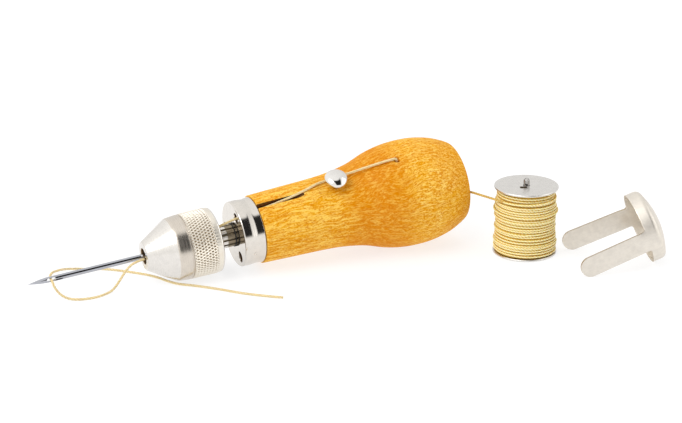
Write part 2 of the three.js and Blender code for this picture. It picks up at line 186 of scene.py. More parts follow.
def clip_frame():
    """The clip lies on its cap's edge and the tips of its tines."""
    half = TINE_WIDTH / 2
    reach = TINE_LENGTH - half
    lean = math.acos(half / math.hypot(CAP_R, reach)) - math.atan2(reach, CAP_R)
    place = Matrix.Translation((CLIP_AT[0] * MM, CLIP_AT[1] * MM, CAP_R * math.cos(lean) * MM))
    return TABLE @ place @ Matrix.Rotation(math.radians(CLIP_YAW), 4, "Z") @ Matrix.Rotation(-lean, 4, "Y")


TABLE = table_frame()
AWL = awl_frame()
BOBBIN = TABLE @ Matrix.Translation((BOBBIN_AT[0] * MM, BOBBIN_AT[1] * MM, 0))
CLIP = clip_frame()


def around(x, radius, angle):
    """A point of the awl at a station, a radius and an angle round the axis, on the table."""
    turn = math.radians(angle)
    local = Vector((x, -radius * math.cos(turn), radius * math.sin(turn))) * MM
    return (TABLE.inverted() @ AWL @ local) / MM


# ---------------------------------------------------------------- camera and light
def make_camera():
    target = TABLE @ (Vector(CAMERA_TARGET) * MM)
    azimuth, elevation = math.radians(CAMERA_AZIMUTH), math.radians(CAMERA_ELEVATION)
    back = Vector((
        math.sin(azimuth) * math.cos(elevation),
        -math.cos(azimuth) * math.cos(elevation),
        math.sin(elevation),
    ))
    data = bpy.data.cameras.new("camera")
    data.sensor_width = 36
    data.lens = CAMERA_LENS
    data.clip_end = 50
    camera = bpy.data.objects.new("camera", data)
    camera.location = target + back * CAMERA_DISTANCE * MM
    camera.rotation_euler = back.to_track_quat("Z", "Y").to_euler()
    bpy.context.scene.collection.objects.link(camera)
    bpy.context.scene.camera = camera


def set_inputs(tree, node, values):
    """The node's inputs by name or number: each is a value, or another node's output."""
    for key, value in values.items():
        if isinstance(value, bpy.types.NodeSocket):
            tree.links.new(value, node.inputs[key])
        else:
            node.inputs[key].default_value = value


def add_node(tree, kind, inputs=None, **settings):
    node = tree.nodes.new(kind)
    for name, value in settings.items():
        setattr(node, name, value)
    set_inputs(tree, node, inputs or {})
    return node


def math_node(tree, operation, a, b=0.0):
    return add_node(tree, "ShaderNodeMath", {0: a, 1: b}, operation=operation).outputs[0]


def total(tree, a, b):
    return math_node(tree, "ADD", a, b)


def product(tree, *factors):
    """The product of numbers and other nodes' outputs."""
    result = factors[0]
    for factor in factors[1:]:
        result = math_node(tree, "MULTIPLY", result, factor)
    return result


def spread(tree, value, low, high, to_low=0.0, to_high=1.0):
    """The value taken from one range to another with soft ends."""
    inputs = {"Value": value, "From Min": low, "From Max": high, "To Min": to_low, "To Max": to_high}
    return add_node(tree, "ShaderNodeMapRange", inputs, interpolation_type="SMOOTHSTEP").outputs[0]


def make_world():
    """A white tent with a dark upright gap above the camera, and a brighter panel to the right of it.
    Their edges are given as parts of a direction of length 1."""
    world = bpy.data.worlds.new("tent")
    bpy.context.scene.world = world
    world.use_nodes = True
    tree = world.node_tree
    tree.nodes.clear()
    ray = add_node(tree, "ShaderNodeTexCoord").outputs["Generated"]
    x, y, z = add_node(tree, "ShaderNodeSeparateXYZ", {0: ray}).outputs
    off_centre = math_node(tree, "ABSOLUTE", math_node(tree, "SUBTRACT", x, 0.055))
    near_side = spread(tree, y, 0.0, -0.1)
    gap = product(tree, spread(tree, off_centre, 0.34, 0.28), near_side,
                  spread(tree, z, 0.0, 0.16), spread(tree, z, 0.975, 0.88))
    panel = product(tree, spread(tree, x, 0.44, 0.56), spread(tree, x, 0.96, 0.8), near_side,
                    spread(tree, z, -0.2, 0.1))
    overhead = spread(tree, z, -0.2, 0.9, 0.92, 1.1)
    left = spread(tree, x, 0.9, -0.9, 0.86, 1.1)
    strength = product(tree, overhead, left, spread(tree, panel, 0.0, 1.0, 1.0, 2.1),
                       spread(tree, gap, 0.0, 1.0, 1.0, 0.02))
    inputs = {"Color": (1.0, 0.995, 0.985, 1), "Strength": strength}
    add_node(tree, "ShaderNodeOutputWorld", {0: add_node(tree, "ShaderNodeBackground", inputs).outputs[0]})


def make_lights():
    """A broad soft light above, to the left and a little behind the camera."""
    data = bpy.data.lights.new("soft_light", "AREA")
    data.shape = "DISK"
    data.size = 0.9
    data.energy = 5.5
    light = bpy.data.objects.new("soft_light", data)
    light.location = TABLE @ Vector((-0.75, -0.3, 0.95))
    light.rotation_euler = (light.location - TABLE @ Vector((0.03, 0, 0))).to_track_quat("Z", "Y").to_euler()
    bpy.context.scene.collection.objects.link(light)


def make_floor():
    half = 6.0
    mesh = bpy.data.meshes.new("floor")
    corners = [(-half, -half, 0), (half, -half, 0), (half, half, 0), (-half, half, 0)]
    mesh.from_pydata(corners, [], [(0, 1, 2, 3)])
    floor = bpy.data.objects.new("floor", mesh)
    floor.location.z = -0.00002
    material, tree, surface = new_material("floor_paint", (0.3, 0.3, 0.305), 0.9)
    glow = {"Specular IOR Level": 0.1, "Emission Color": (1, 1, 1, 1), "Emission Strength": 0.74}
    set_inputs(tree, surface, glow)
    mesh.materials.append(material)
    bpy.context.scene.collection.objects.link(floor)


# ---------------------------------------------------------------- materials
def new_material(name, colour, roughness, metallic=0.0):
    material = bpy.data.materials.new(name)
    material.use_nodes = True
    tree = material.node_tree
    surface = tree.nodes["Principled BSDF"]
    set_inputs(tree, surface, {"Base Color": (*colour, 1), "Roughness": roughness, "Metallic": metallic})
    return material, tree, surface


def place_in_mm(tree, place, squeeze=(1, 1, 1)):
    """The place in a group's own frame in millimetres, squeezed by a factor along each axis."""
    inputs = {
        0: add_node(tree, "ShaderNodeTexCoord").outputs["Object"], "Location": place.translation,
        "Rotation": place.to_euler(), "Scale": [MM / s for s in squeeze],
    }
    return add_node(tree, "ShaderNodeMapping", inputs, vector_type="TEXTURE").outputs[0]


def noise(tree, where, scale, detail=2.0, rough=0.5):
    inputs = {"Vector": where, "Scale": scale, "Detail": detail, "Roughness": rough}
    return add_node(tree, "ShaderNodeTexNoise", inputs).outputs["Fac"]


def mix_colour(tree, factor, a, b):
    a, b = ((*c, 1) if isinstance(c, tuple) else c for c in (a, b))
    return add_node(tree, "ShaderNodeMix", {0: factor, 6: a, 7: b}, data_type="RGBA").outputs[2]


def bump(tree, height, distance_mm, strength):
    inputs = {"Height": height, "Strength": strength, "Distance": distance_mm * MM}
    return add_node(tree, "ShaderNodeBump", inputs).outputs[0]


def wood_grain(tree, squeeze, scale, detail):
    """Noise in strokes along the awl's axis that sway a little from side to side."""
    bend = noise(tree, place_in_mm(tree, AWL, (0.11, 0.12, 0.12)), 1.0, 1.0)
    aside = product(tree, math_node(tree, "SUBTRACT", bend, 0.5), 3.0)
    shift = add_node(tree, "ShaderNodeCombineXYZ", {1: aside, 2: aside}).outputs[0]
    where = place_in_mm(tree, AWL, (squeeze, 1, 1))
    moved = add_node(tree, "ShaderNodeVectorMath", {0: where, 1: shift}, operation="ADD")
    return noise(tree, moved.outputs[0], scale, detail, 0.55)


def growth_rings(tree):
    """Soft bands round the tree's pith, which lay beside the handle and a little across it."""
    x, y, z = add_node(tree, "ShaderNodeSeparateXYZ", {0: place_in_mm(tree, AWL)}).outputs
    across = math_node(tree, "SUBTRACT", y, total(tree, product(tree, x, 0.16), 26.0))
    upward = total(tree, z, 34.0)
    squares = total(tree, product(tree, across, across), product(tree, upward, upward))
    uneven = product(tree, noise(tree, place_in_mm(tree, AWL, (0.3, 1, 1)), 0.2, 2.0), 5.0)
    phase = total(tree, product(tree, math_node(tree, "SQRT", squares), 3.1), uneven)
    return spread(tree, math_node(tree, "SINE", phase), -1.0, 1.0)


def lacquered_wood():
    """Honey-orange wood with short swaying fibres along the awl's axis, under a thin lacquer.
    It is painted darker at the neck as painted shade, and shows most pale strokes on the bulb as a painted
    sheen."""
    material, tree, surface = new_material("honey_wood", (0.78, 0.38, 0.01), 0.5)
    fibres = wood_grain(tree, 0.055, 1.6, 1.5)
    strokes = wood_grain(tree, 0.17, 2.0, 1.0)
    streaks = wood_grain(tree, 0.05, 0.8, 2.0)
    flecks = wood_grain(tree, 0.42, 3.1, 1.0)
    clouds = noise(tree, place_in_mm(tree, AWL), 0.07, 2.0)
    station = add_node(tree, "ShaderNodeSeparateXYZ", {0: place_in_mm(tree, AWL)}).outputs[0]
    # painted shade: the neck is darker and has fewer pale strokes
    neck = product(tree, spread(tree, station, 30.0, 46.0), spread(tree, station, 70.0, 54.0))
    waist = spread(tree, station, 46.0, 34.0, 0.45, 1.0)
    # painted sheen: more pale strokes and flecks on the bulb
    bulb = product(tree, spread(tree, station, 60.0, 68.0, 0.0, 0.6), spread(tree, station, 82.0, 74.0))
    stroke_shade_and_sheen = total(tree, math_node(tree, "SUBTRACT", 1.0, product(tree, neck, 0.7)), bulb)
    colour = mix_colour(tree, spread(tree, clouds, 0.35, 0.65), (0.74, 0.29, 0.001), (0.79, 0.35, 0.003))
    layers = [
        # painted shade at the neck
        (product(tree, neck, 0.85), (0.66, 0.215, 0.0005)),
        (spread(tree, growth_rings(tree), 0.3, 1.0, 0.0, 0.25), (0.62, 0.185, 0.0005)),
        (product(tree, spread(tree, fibres, 0.47, 0.62, 0.0, 0.95), waist), (0.92, 0.58, 0.10)),
        (product(tree, spread(tree, strokes, 0.5, 0.66, 0.0, 0.6), stroke_shade_and_sheen), (0.94, 0.64, 0.15)),
        (spread(tree, streaks, 0.46, 0.3, 0.0, 0.5), (0.62, 0.19, 0.0005)),
        (product(tree, spread(tree, flecks, 0.5, 0.68, 0.0, 0.45), stroke_shade_and_sheen), (0.94, 0.64, 0.13)),
        (spread(tree, flecks, 0.48, 0.32, 0.0, 0.75), (0.60, 0.175, 0.0005)),
    ]
    for factor, tint in layers:
        colour = mix_colour(tree, factor, colour, tint)
    waves = bump(tree, flecks, 0.03, 0.5)
    set_inputs(tree, surface, {
        "Base Color": colour, "Normal": waves, "Coat Normal": waves, "Specular IOR Level": 0.0,
        "Coat Weight": 0.14, "Coat Roughness": 0.22, "Coat IOR": 1.5,
    })
    return material


def shaded_cut_wood():
    """The same wood where it is cut and has no lacquer: dull, and painted dark as painted shade in the bore,
    the holes and the groove.
    """
    material, tree, surface = new_material("shaded_cut_wood", (0.16, 0.07, 0.015), 0.75)
    fibres = noise(tree, place_in_mm(tree, AWL, (0.15, 1, 1)), 1.8, 3.0, 0.6)
    colour = mix_colour(tree, spread(tree, fibres, 0.3, 0.7), (0.06, 0.022, 0.004), (0.17, 0.07, 0.014))
    waves = bump(tree, fibres, 0.05, 0.6)
    set_inputs(tree, surface, {"Base Color": colour, "Normal": waves, "Specular IOR Level": 0.2})
    return material


def metal(name, place, colour, roughness, squeeze=(0.6, 0.6, 0.6), depth=0.006, mottle=0.03, shaded_pits=False):
    """Bare or plated metal. Its tool marks run where they are squeezed least, under faint clouds.
    The low places of a mesh with crowns can be painted brown as painted shade, and made dull."""
    material, tree, surface = new_material(name, colour, roughness, 1.0)
    marks = noise(tree, place_in_mm(tree, place, squeeze), 3.0, 3.0, 0.6)
    clouds = noise(tree, place_in_mm(tree, place), 0.5, 3.0, 0.6)
    darker = tuple(c * (1 - 2 * mottle) for c in colour)
    base = mix_colour(tree, spread(tree, clouds, 0.3, 0.7), darker, colour)
    rough = spread(tree, marks, 0.3, 0.7, roughness * 0.85, roughness * 1.2)
    if shaded_pits:
        # painted shade: brown in the low places between the crowns
        crown = add_node(tree, "ShaderNodeAttribute", attribute_name="crown").outputs["Fac"]
        pit_shade = spread(tree, crown, 0.85, 0.2, 0.0, 0.9)
        base = mix_colour(tree, pit_shade, base, (0.34, 0.255, 0.15))
        rough = total(tree, rough, product(tree, pit_shade, 0.3))
    waves = bump(tree, marks, depth, 0.5)
    set_inputs(tree, surface, {"Base Color": base, "Roughness": rough, "Normal": waves})
    return material


def waxed_thread(name, pale, deep, crest_highlight=None):
    """Twisted waxed thread, painted pale on the plies' crowns as a painted highlight and darker between them
    as painted shade, with fine fibres and waxy patches. A crest colour, where given, is a painted highlight:
    a paler line where the thread stands out most."""
    material, tree, surface = new_material(name, pale, 0.5)
    crown = add_node(tree, "ShaderNodeAttribute", attribute_name="crown").outputs["Fac"]
    fibres = noise(tree, place_in_mm(tree, TABLE), 7.0, 2.0, 0.6)
    wax = noise(tree, place_in_mm(tree, TABLE), 0.9, 2.0, 0.5)
    height = total(tree, product(tree, crown, 0.8), product(tree, fibres, 0.4))
    # painted light: pale on the plies' crowns, darker in the hollows between them
    colour = mix_colour(tree, spread(tree, height, 0.25, 0.95), deep, pale)
    patched = mix_colour(tree, spread(tree, wax, 0.4, 0.7, 0.0, 0.4), colour, deep)
    # painted highlight along the crest
    if crest_highlight:
        patched = mix_colour(tree, spread(tree, height, 0.6, 0.95), patched, crest_highlight)
    set_inputs(tree, surface, {
        "Base Color": patched, "Normal": bump(tree, fibres, 0.03, 0.6), "Sheen Weight": 0.25,
        "Subsurface Weight": 0.15, "Subsurface Radius": (0.6, 0.4, 0.15), "Subsurface Scale": 0.5 * MM,
    })
    return material


def rubber():
    """Dull black rubber with fine specks."""
    material, tree, surface = new_material("black_rubber", (0.012, 0.011, 0.01), 0.5)
    specks = noise(tree, place_in_mm(tree, AWL), 4.0, 3.0, 0.6)
    rough = spread(tree, specks, 0.3, 0.7, 0.4, 0.65)
    set_inputs(tree, surface, {"Roughness": rough, "Normal": bump(tree, specks, 0.02, 0.4)})
    return material


# ---------------------------------------------------------------- mesh making
def catmull(points, steps):
    """A smooth curve through an outline's points, evenly parted between each two."""
    p = np.array(points, float)
    p = np.vstack([2 * p[0] - p[1], p, 2 * p[-1] - p[-2]])
    t = np.linspace(0, 1, steps, endpoint=False)[:, None]
    pieces = []
    for a, b, c, d in zip(p[:-3], p[1:-2], p[2:-1], p[3:]):
        pieces.append(0.5 * (2 * b + (c - a) * t + (2 * a - 5 * b + 4 * c - d) * t**2
                             + (3 * b - a - 3 * c + d) * t**3))
    return np.vstack([*pieces, p[-2:-1]])


def centripetal(points, step):
    """The same with centripetal spacing, as points a step apart along the curve."""
    p = np.array([list(q) for q in points], float)
    p = np.vstack([2 * p[0] - p[1], p, 2 * p[-1] - p[-2]])

    def between(a, b, low, high):
        return (a * (high - t) + b * (t - low)) / (high - low)

    pieces = []
    for i in range(1, len(p) - 2):
        q = p[i - 1:i + 3]
        k = np.concatenate([[0], np.cumsum(np.linalg.norm(np.diff(q, axis=0), axis=1) ** 0.5)])
        t = np.linspace(k[1], k[2], 24, endpoint=False)[:, None]
        a = [between(q[j], q[j + 1], k[j], k[j + 1]) for j in range(3)]
        b = [between(a[j], a[j + 1], k[j], k[j + 2]) for j in range(2)]
        pieces.append(between(b[0], b[1], k[1], k[2]))
    return even(np.vstack([*pieces, p[-2:-1]]), step)


def even(points, step):
    """The same line with points about a step apart."""
    along = np.concatenate([[0], np.cumsum(np.linalg.norm(np.diff(points, axis=0), axis=1))])
    at = np.linspace(0, along[-1], math.ceil(along[-1] / step) + 1)
    return np.stack([np.interp(at, along, points[:, k]) for k in range(points.shape[1])], axis=1)


def rounded(corners, radius=0.2, steps=4, closed=True):
    """An outline with its corners rounded off, each with its own radius where it has a third number.
    A point just outside each round stretch keeps the flats beside it flat."""
    points = []
    for i, corner in enumerate(corners):
        here = np.array(corner[:2], float)
        bend = corner[2] if len(corner) > 2 else radius
        if bend == 0 or (not closed and i in (0, len(corners) - 1)):
            points.append(here)
            continue
        before = np.array(corners[i - 1][:2], float) - here
        after = np.array(corners[(i + 1) % len(corners)][:2], float) - here
        room = min(np.linalg.norm(before), np.linalg.norm(after))
        before /= np.linalg.norm(before)
        after /= np.linalg.norm(after)
        half = math.acos(np.clip(before @ after, -1, 1)) / 2
        if half > math.radians(88):
            points.append(here)
            continue
        reach = min(bend / math.tan(half), 0.42 * room)
        bend = reach * math.tan(half)
        middle = before + after
        centre = here + middle / np.linalg.norm(middle) * bend / math.sin(half)
        start, end = here + before * reach - centre, here + after * reach - centre
        swing = math.pi - 2 * half
        outside = reach + min(0.06, 0.05 * room)
        points.append(here + before * outside)
        for t in np.linspace(0, 1, steps + 1):
            arm = math.sin((1 - t) * swing) * start + math.sin(t * swing) * end
            points.append(centre + arm / math.sin(swing))
        points.append(here + after * outside)
    return np.array(points)


def parted(outline, longest):
    """The outline with its long stretches parted."""
    points = [outline[0]]
    for a, b in zip(outline[:-1], outline[1:]):
        parts = max(1, math.ceil(np.linalg.norm(b - a) / longest))
        points += [a + (b - a) * (k / parts) for k in range(1, parts + 1)]
    return np.array(points)


def ring_angles(count):
    return np.linspace(0, 2 * math.pi, count, endpoint=False)


def turned(outline, angles):
    """A grid of points: each (x, radius) of the outline goes round X, through the angles."""
    x, r = np.asarray(outline)[:, 0, None], np.asarray(outline)[:, 1, None]
    return with_radius(x, r + 0 * angles, angles)


def with_radius(x, radius, angles):
    """The same with a radius for each point of the grid."""
    x = x + 0 * radius
    return np.stack([x, -radius * np.cos(angles), radius * np.sin(angles)], axis=2)


def upright(points):
    """The same grid about Z."""
    return np.stack([-points[..., 2], points[..., 1], points[..., 0]], axis=-1)


def grid_faces(rows, columns, wrap_rows=False, wrap_columns=True):
    row_count = rows if wrap_rows else rows - 1
    column_count = columns if wrap_columns else columns - 1
    i, j = np.meshgrid(np.arange(row_count), np.arange(column_count), indexing="ij")
    i2, j2 = (i + 1) % rows, (j + 1) % columns
    quads = np.stack([i * columns + j, i * columns + j2, i2 * columns + j2, i2 * columns + j], axis=2)
    return quads.reshape(-1, 4)


def band(count, first, second):
    """Faces between two closed rings of points, which start at these points."""
    return [(first + j, first + (j + 1) % count, second + (j + 1) % count, second + j) for j in range(count)]


def joined(pieces):
    """Several pairs of points and faces as one pair."""
    faces, start = [], 0
    for points, piece_faces in pieces:
        faces += [[i + start for i in face] for face in piece_faces]
        start += len(points)
    return np.vstack([points for points, _ in pieces]), faces


def eased(t):
    """From 0 to 1 with soft ends, and level outside them."""
    t = np.clip(t, 0, 1)
    return t * t * (3 - 2 * t)


def make_mesh(name, points, faces, place, materials, face_materials=None, sharp=35, crown=None):
    """An object from points in millimetres in a group's frame, with merged poles and outward faces."""
    points = np.asarray(points).reshape(-1, 3) * MM
    turn = np.array(place.to_3x3())
    points = points @ turn.T + np.array(place.translation)
    mesh = bpy.data.meshes.new(name)
    mesh.from_pydata(points.tolist(), [], [list(map(int, f)) for f in faces])
    if crown is not None:
        attribute = mesh.attributes.new("crown", "FLOAT", "POINT")
        attribute.data.foreach_set("value", np.asarray(crown, np.float32))
    for material in materials:
        mesh.materials.append(material)
    if face_materials is not None:
        mesh.polygons.foreach_set("material_index", np.asarray(face_materials, np.int32))
    tidy_mesh(mesh, sharp)
    obj = bpy.data.objects.new(name, mesh)
    bpy.context.scene.collection.objects.link(obj)
    return obj


def tidy_mesh(mesh, sharp):
    work = bmesh.new()
    work.from_mesh(mesh)
    bmesh.ops.remove_doubles(work, verts=work.verts, dist=1e-7)
    bmesh.ops.recalc_face_normals(work, faces=work.faces)
    work.to_mesh(mesh)
    work.free()
    mesh.polygons.foreach_set("use_smooth", [True] * len(mesh.polygons))
    mesh.set_sharp_from_angle(angle=math.radians(sharp))
    mesh.update()


def turned_piece(name, outline, place, material, segments=128, about_z=False, closed=True, sharp=35):
    """A turned solid: a closed outline makes a ring, and an open one starts and ends on the axis."""
    grid = turned(outline, ring_angles(segments))
    if about_z:
        grid = upright(grid)
    faces = grid_faces(len(outline), segments, wrap_rows=closed)
    return make_mesh(name, grid, faces, place, [material], sharp=sharp)


def cut(obj, *cutters, sharp=35):
    """Cuts the cutters out of an object and removes them."""
    for cutter in cutters:
        modifier = obj.modifiers.new("cut", "BOOLEAN")
        modifier.operation = "DIFFERENCE"
        modifier.solver = "EXACT"
        modifier.object = cutter
    settle(obj, sharp)
    for cutter in cutters:
        bpy.data.objects.remove(cutter)
    return obj


def settle(obj, sharp):
    """Makes the modifiers' result the object's own mesh."""
    bpy.context.view_layer.update()
    graph = bpy.context.evaluated_depsgraph_get()
    mesh = bpy.data.meshes.new_from_object(obj.evaluated_get(graph))
    obj.modifiers.clear()
    obj.data = mesh
    tidy_mesh(mesh, sharp)


def stand_for(obj, body, node):
    """The piece rides on a body and stands for a CAD node."""
    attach(obj, body)
    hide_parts(node)


def radial_frame(x, angle):
    """A frame on the awl whose X leaves the axis at a station and an angle."""
    turn = math.radians(angle)
    out = Vector((0, -math.cos(turn), math.sin(turn)))
    along = Vector((1, 0, 0))
    axes = Matrix((out, along.cross(out), along)).transposed().to_4x4()
    return AWL @ Matrix.Translation((x * MM, 0, 0)) @ axes


def drill(outline, place, segments=40):
    """A turned cutter, from the axis back to the axis."""
    return turned_piece("drill", outline, place, None, segments, closed=False)


def lined(cutter, *materials):
    """The cutter, which leaves the second material on what it cuts."""
    for material in materials:
        cutter.data.materials.append(material)
    cutter.data.polygons.foreach_set("material_index", [1] * len(cutter.data.polygons))
    return cutter


def block(low, high, place):
    """A box-shaped cutter."""
    corners = [[(low, high)[i >> k & 1][k] for k in range(3)] for i in range(8)]
    faces = [(0, 1, 3, 2), (4, 5, 7, 6), (0, 1, 5, 4), (2, 3, 7, 6), (0, 2, 6, 4), (1, 3, 7, 5)]
    return make_mesh("block", corners, faces, place, [])


# ---------------------------------------------------------------- the handle
def groove_columns():
    """The angles of the handle's columns, close together at the groove, and how far each is aside from it."""
    across = np.array([0, 0.25, 0.45, 0.6, 0.72, 0.82, 0.89, 0.93, 0.96, 1.02, 1.1, 1.25, 1.6, 2.1])
    near = np.degrees(across / WAIST_R)
    rest = np.linspace(THREAD_ANGLE + near[-1], THREAD_ANGLE + 360 - near[-1], 250)[1:-1]
    degrees = np.concatenate([THREAD_ANGLE - near[:0:-1], THREAD_ANGLE + near, rest])
    aside = np.abs((degrees - THREAD_ANGLE + 180) % 360 - 180) * math.radians(WAIST_R)
    return np.radians(degrees), aside


def wood_handle(wood, raw):
    """The turned handle: lacquered outside, raw in the bore, the thread's groove and under the ferrule. The
    raw wood is painted dark, as painted shade.
    """
    tenon_r = FERRULE_R - FERRULE_WALL - 0.3
    front = parted(rounded([
        (HANDLE_FRONT, POST_R + 0.5), (HANDLE_FRONT, tenon_r), (HANDLE_SHOULDER, tenon_r, 0),
        (HANDLE_SHOULDER, SHOULDER_R, 0.25), (9.5, WAIST_R),
    ], 0.2, 3, closed=False)[:-1], 0.8)
    swell = catmull(HANDLE_OUTLINE, 14)
    swell = swell[swell[:, 0] > 9.6]
    end = parted(rounded([
        tuple(swell[-1]), (86.75, 14.6, 1.4), (HANDLE_END, BORE_R + 0.1, 0.25), (BORE_FLOOR, BORE_R, 0.8),
        (BORE_FLOOR, POST_R, 0.3), (POST_BACK + 0.3, POST_R),
    ], 0.3, 5, closed=False), 2.5)
    outline = np.vstack([front, swell[:-1], end])
    lacquered_end = 11               # rows of the end that are outside the bore
    bore_starts = len(outline) - len(end) + lacquered_end

    # the groove has a round floor that runs out at its end, and a worn lip
    half = GROOVE_WIDTH / 2
    angles, aside = groove_columns()
    x, r = outline[:, 0, None], outline[:, 1, None]
    outer = np.interp(x, [0, HANDLE_SHOULDER, *swell[:, 0]], [12.1, 12.1, *swell[:, 1]])
    floor = np.interp(np.maximum(x, HANDLE_SHOULDER), [0, GROOVE_END], [FERRULE_HOLE_CIRCLE_R - 2, 13])
    depth = np.maximum(0, outer - floor) * np.clip((r - 6) / (tenon_r - 6), 0, 1) * (x < GROOVE_END)
    round_floor = half - np.sqrt(np.maximum(0, half**2 - aside**2))
    carved = np.maximum(0, depth - round_floor) * (aside < half)
    lip = np.clip((half + 0.3 - aside) / 0.3, 0, 1) ** 2 * np.minimum(0.12, 0.3 * depth)
    grid = with_radius(x, r - np.maximum(carved, lip), angles)

    rows, columns = len(outline), len(angles)
    row = np.arange(rows - 1)[:, None] + 0 * angles
    # painted shade: the deep part of the groove gets the dark raw wood
    groove_shade = (aside < half) & (carved[:-1] > 0.25)
    raw_or_shaded = (row >= bore_starts) | (x[:-1] < HANDLE_SHOULDER - 0.1) | groove_shade
    # the post's socket joins the two ends of the outline
    socket = band(columns, 0, (rows - 1) * columns)
    kinds = np.append(raw_or_shaded.ravel(), np.ones(columns)).astype(int)
    faces = [*grid_faces(rows, columns).tolist(), *socket]
    obj = make_mesh("handle", grid, faces, AWL, [wood, raw], kinds, 50)

    hole = drill([
        (BORE_R - 3, 0), (BORE_R - 3, SIDE_HOLE_R), (18.65, SIDE_HOLE_R), (19.1, SIDE_HOLE_R + 0.3),
        (21, SIDE_HOLE_R + 2.2), (21, 0),
    ], radial_frame(SIDE_HOLE_AT, SIDE_HOLE_ANGLE))
    seat_r = TENSION_STEM_R + 0.15
    post_place = radial_frame(TENSION_POST_AT, TENSION_POST_ANGLE)
    seat = drill([(8, 0), (8, seat_r), (15, seat_r), (15, 0)], post_place)
    cut(obj, lined(hole, wood, raw), lined(seat, wood, raw), sharp=50)
    stand_for(obj, "handle", "wood_handle")


def ferrule(plate, edge):
    """The nickel cup on the handle's front, with a shallow hollow round its middle."""
    inner = POST_R + 0.3
    inside = FERRULE_R - FERRULE_WALL
    hollow = [(x, r, 0) for x, r in catmull(FERRULE_HOLLOW, 6)]
    outline = parted(rounded([
        (0, inner, 0.12), (0, 11.78, 1.1), *hollow, (FERRULE_LENGTH, FERRULE_R, 0.2),
        (FERRULE_LENGTH, inside, 0.15), (FERRULE_WALL, inside, 0.3), (FERRULE_WALL, inner, 0.12),
    ], 0.2, 6), 0.7)
    obj = turned_piece("ferrule_cup", outline, AWL, plate, 256)
    wide = FERRULE_HOLE_R + 0.12
    flared = [(-1, 0), (-1, wide + 0.5), (0.1, wide), (3, wide), (3, 0)]
    cutters = []
    for i in range(3):
        place = AWL @ Matrix.Translation(radial_offset(FERRULE_HOLE_CIRCLE_R, THREAD_ANGLE + 120 * i))
        cutters.append(lined(drill(flared, place, 48), plate, edge))
    dimple = [(-DIMPLE_R * math.cos(a), DIMPLE_R * math.sin(a)) for a in np.linspace(0, math.pi, 12)]
    centre = Matrix.Translation(((FERRULE_R + 0.45) * MM, 0, 0))
    cutters.append(drill(dimple, radial_frame(DIMPLE_AT, DIMPLE_ANGLE) @ centre, 32))
    cut(obj, *cutters)
    stand_for(obj, "handle", "ferrule")


def radial_offset(radius, angle):
    turn = math.radians(angle)
    return Vector((0, -radius * math.cos(turn), radius * math.sin(turn))) * MM


def tension_post(plate):
    """A stem with a domed head, across the awl."""
    rim, rise, head_r = 16.75, 1.85, 4.15
    dome = [(rim + rise * math.sin(a), head_r * math.cos(a)) for a in np.linspace(0, math.pi / 2, 26)]
    stem = rounded([
        (8.5, 0), (8.5, TENSION_STEM_R, 0.3), (16.2, TENSION_STEM_R, 0.2), (16.2, head_r, 0.35), dome[0],
    ], 0.2, 5, closed=False)
    outline = np.vstack([stem[:-1], dome])
    place = radial_frame(TENSION_POST_AT, TENSION_POST_ANGLE)
    obj = turned_piece("tension_post_head", outline, place, plate, 96, closed=False, sharp=60)
    stand_for(obj, "handle", "tension_post")


def fluted_post(dark, bright):
    """Broad teeth between narrow slots. The teeth's ends are bare and bright."""
    bore = STUD_R + 0.3
    outer = POST_R + 0.15
    bright_end = POST_FRONT + 2.3
    outline = parted(rounded([
        (POST_FRONT, bore + 0.02, 0.05), (POST_FRONT, POST_R - 0.2, 0.05), (POST_FRONT + 0.4, outer, 0.1),
        (bright_end, outer, 0), (POST_BACK, outer, 0.1), (POST_BACK, bore, 0.05),
    ], 0.1, 4), 0.45)
    angles = ring_angles(POST_FLUTES * 20)
    x, r = outline[:, 0, None], outline[:, 1, None]
    from_crown = np.abs((angles * POST_FLUTES / (2 * math.pi)) % 1 - 0.5) * 2
    tooth = POST_R - 0.62 * np.clip((from_crown - 0.62) / 0.16, 0, 1) - 0.08 * from_crown**2
    grid = with_radius(x, np.minimum(r, np.maximum(tooth, bore + 0.1)), angles)
    faces = grid_faces(len(outline), len(angles), wrap_rows=True)
    on_tooth = (from_crown < 0.66) & (np.roll(from_crown, -1) < 0.66)
    front = (x < bright_end - 0.01) & (r > STUD_R + 0.5) & on_tooth
    obj = make_mesh("fluted_shank", grid, faces, AWL, [dark, bright], front.ravel().astype(int), 30)
    stand_for(obj, "handle", "fluted_post")


def post_ring(black):
    """A thin round ring that sits on the fluted post."""
    wire, middle = 0.22, POST_R + 0.1
    outline = [(POST_RING_AT + wire * math.cos(a), middle + wire * math.sin(a)) for a in ring_angles(14)]
    obj = turned_piece("shank_ring", outline, AWL, black, 96, sharp=180)
    stand_for(obj, "handle", "post_ring")


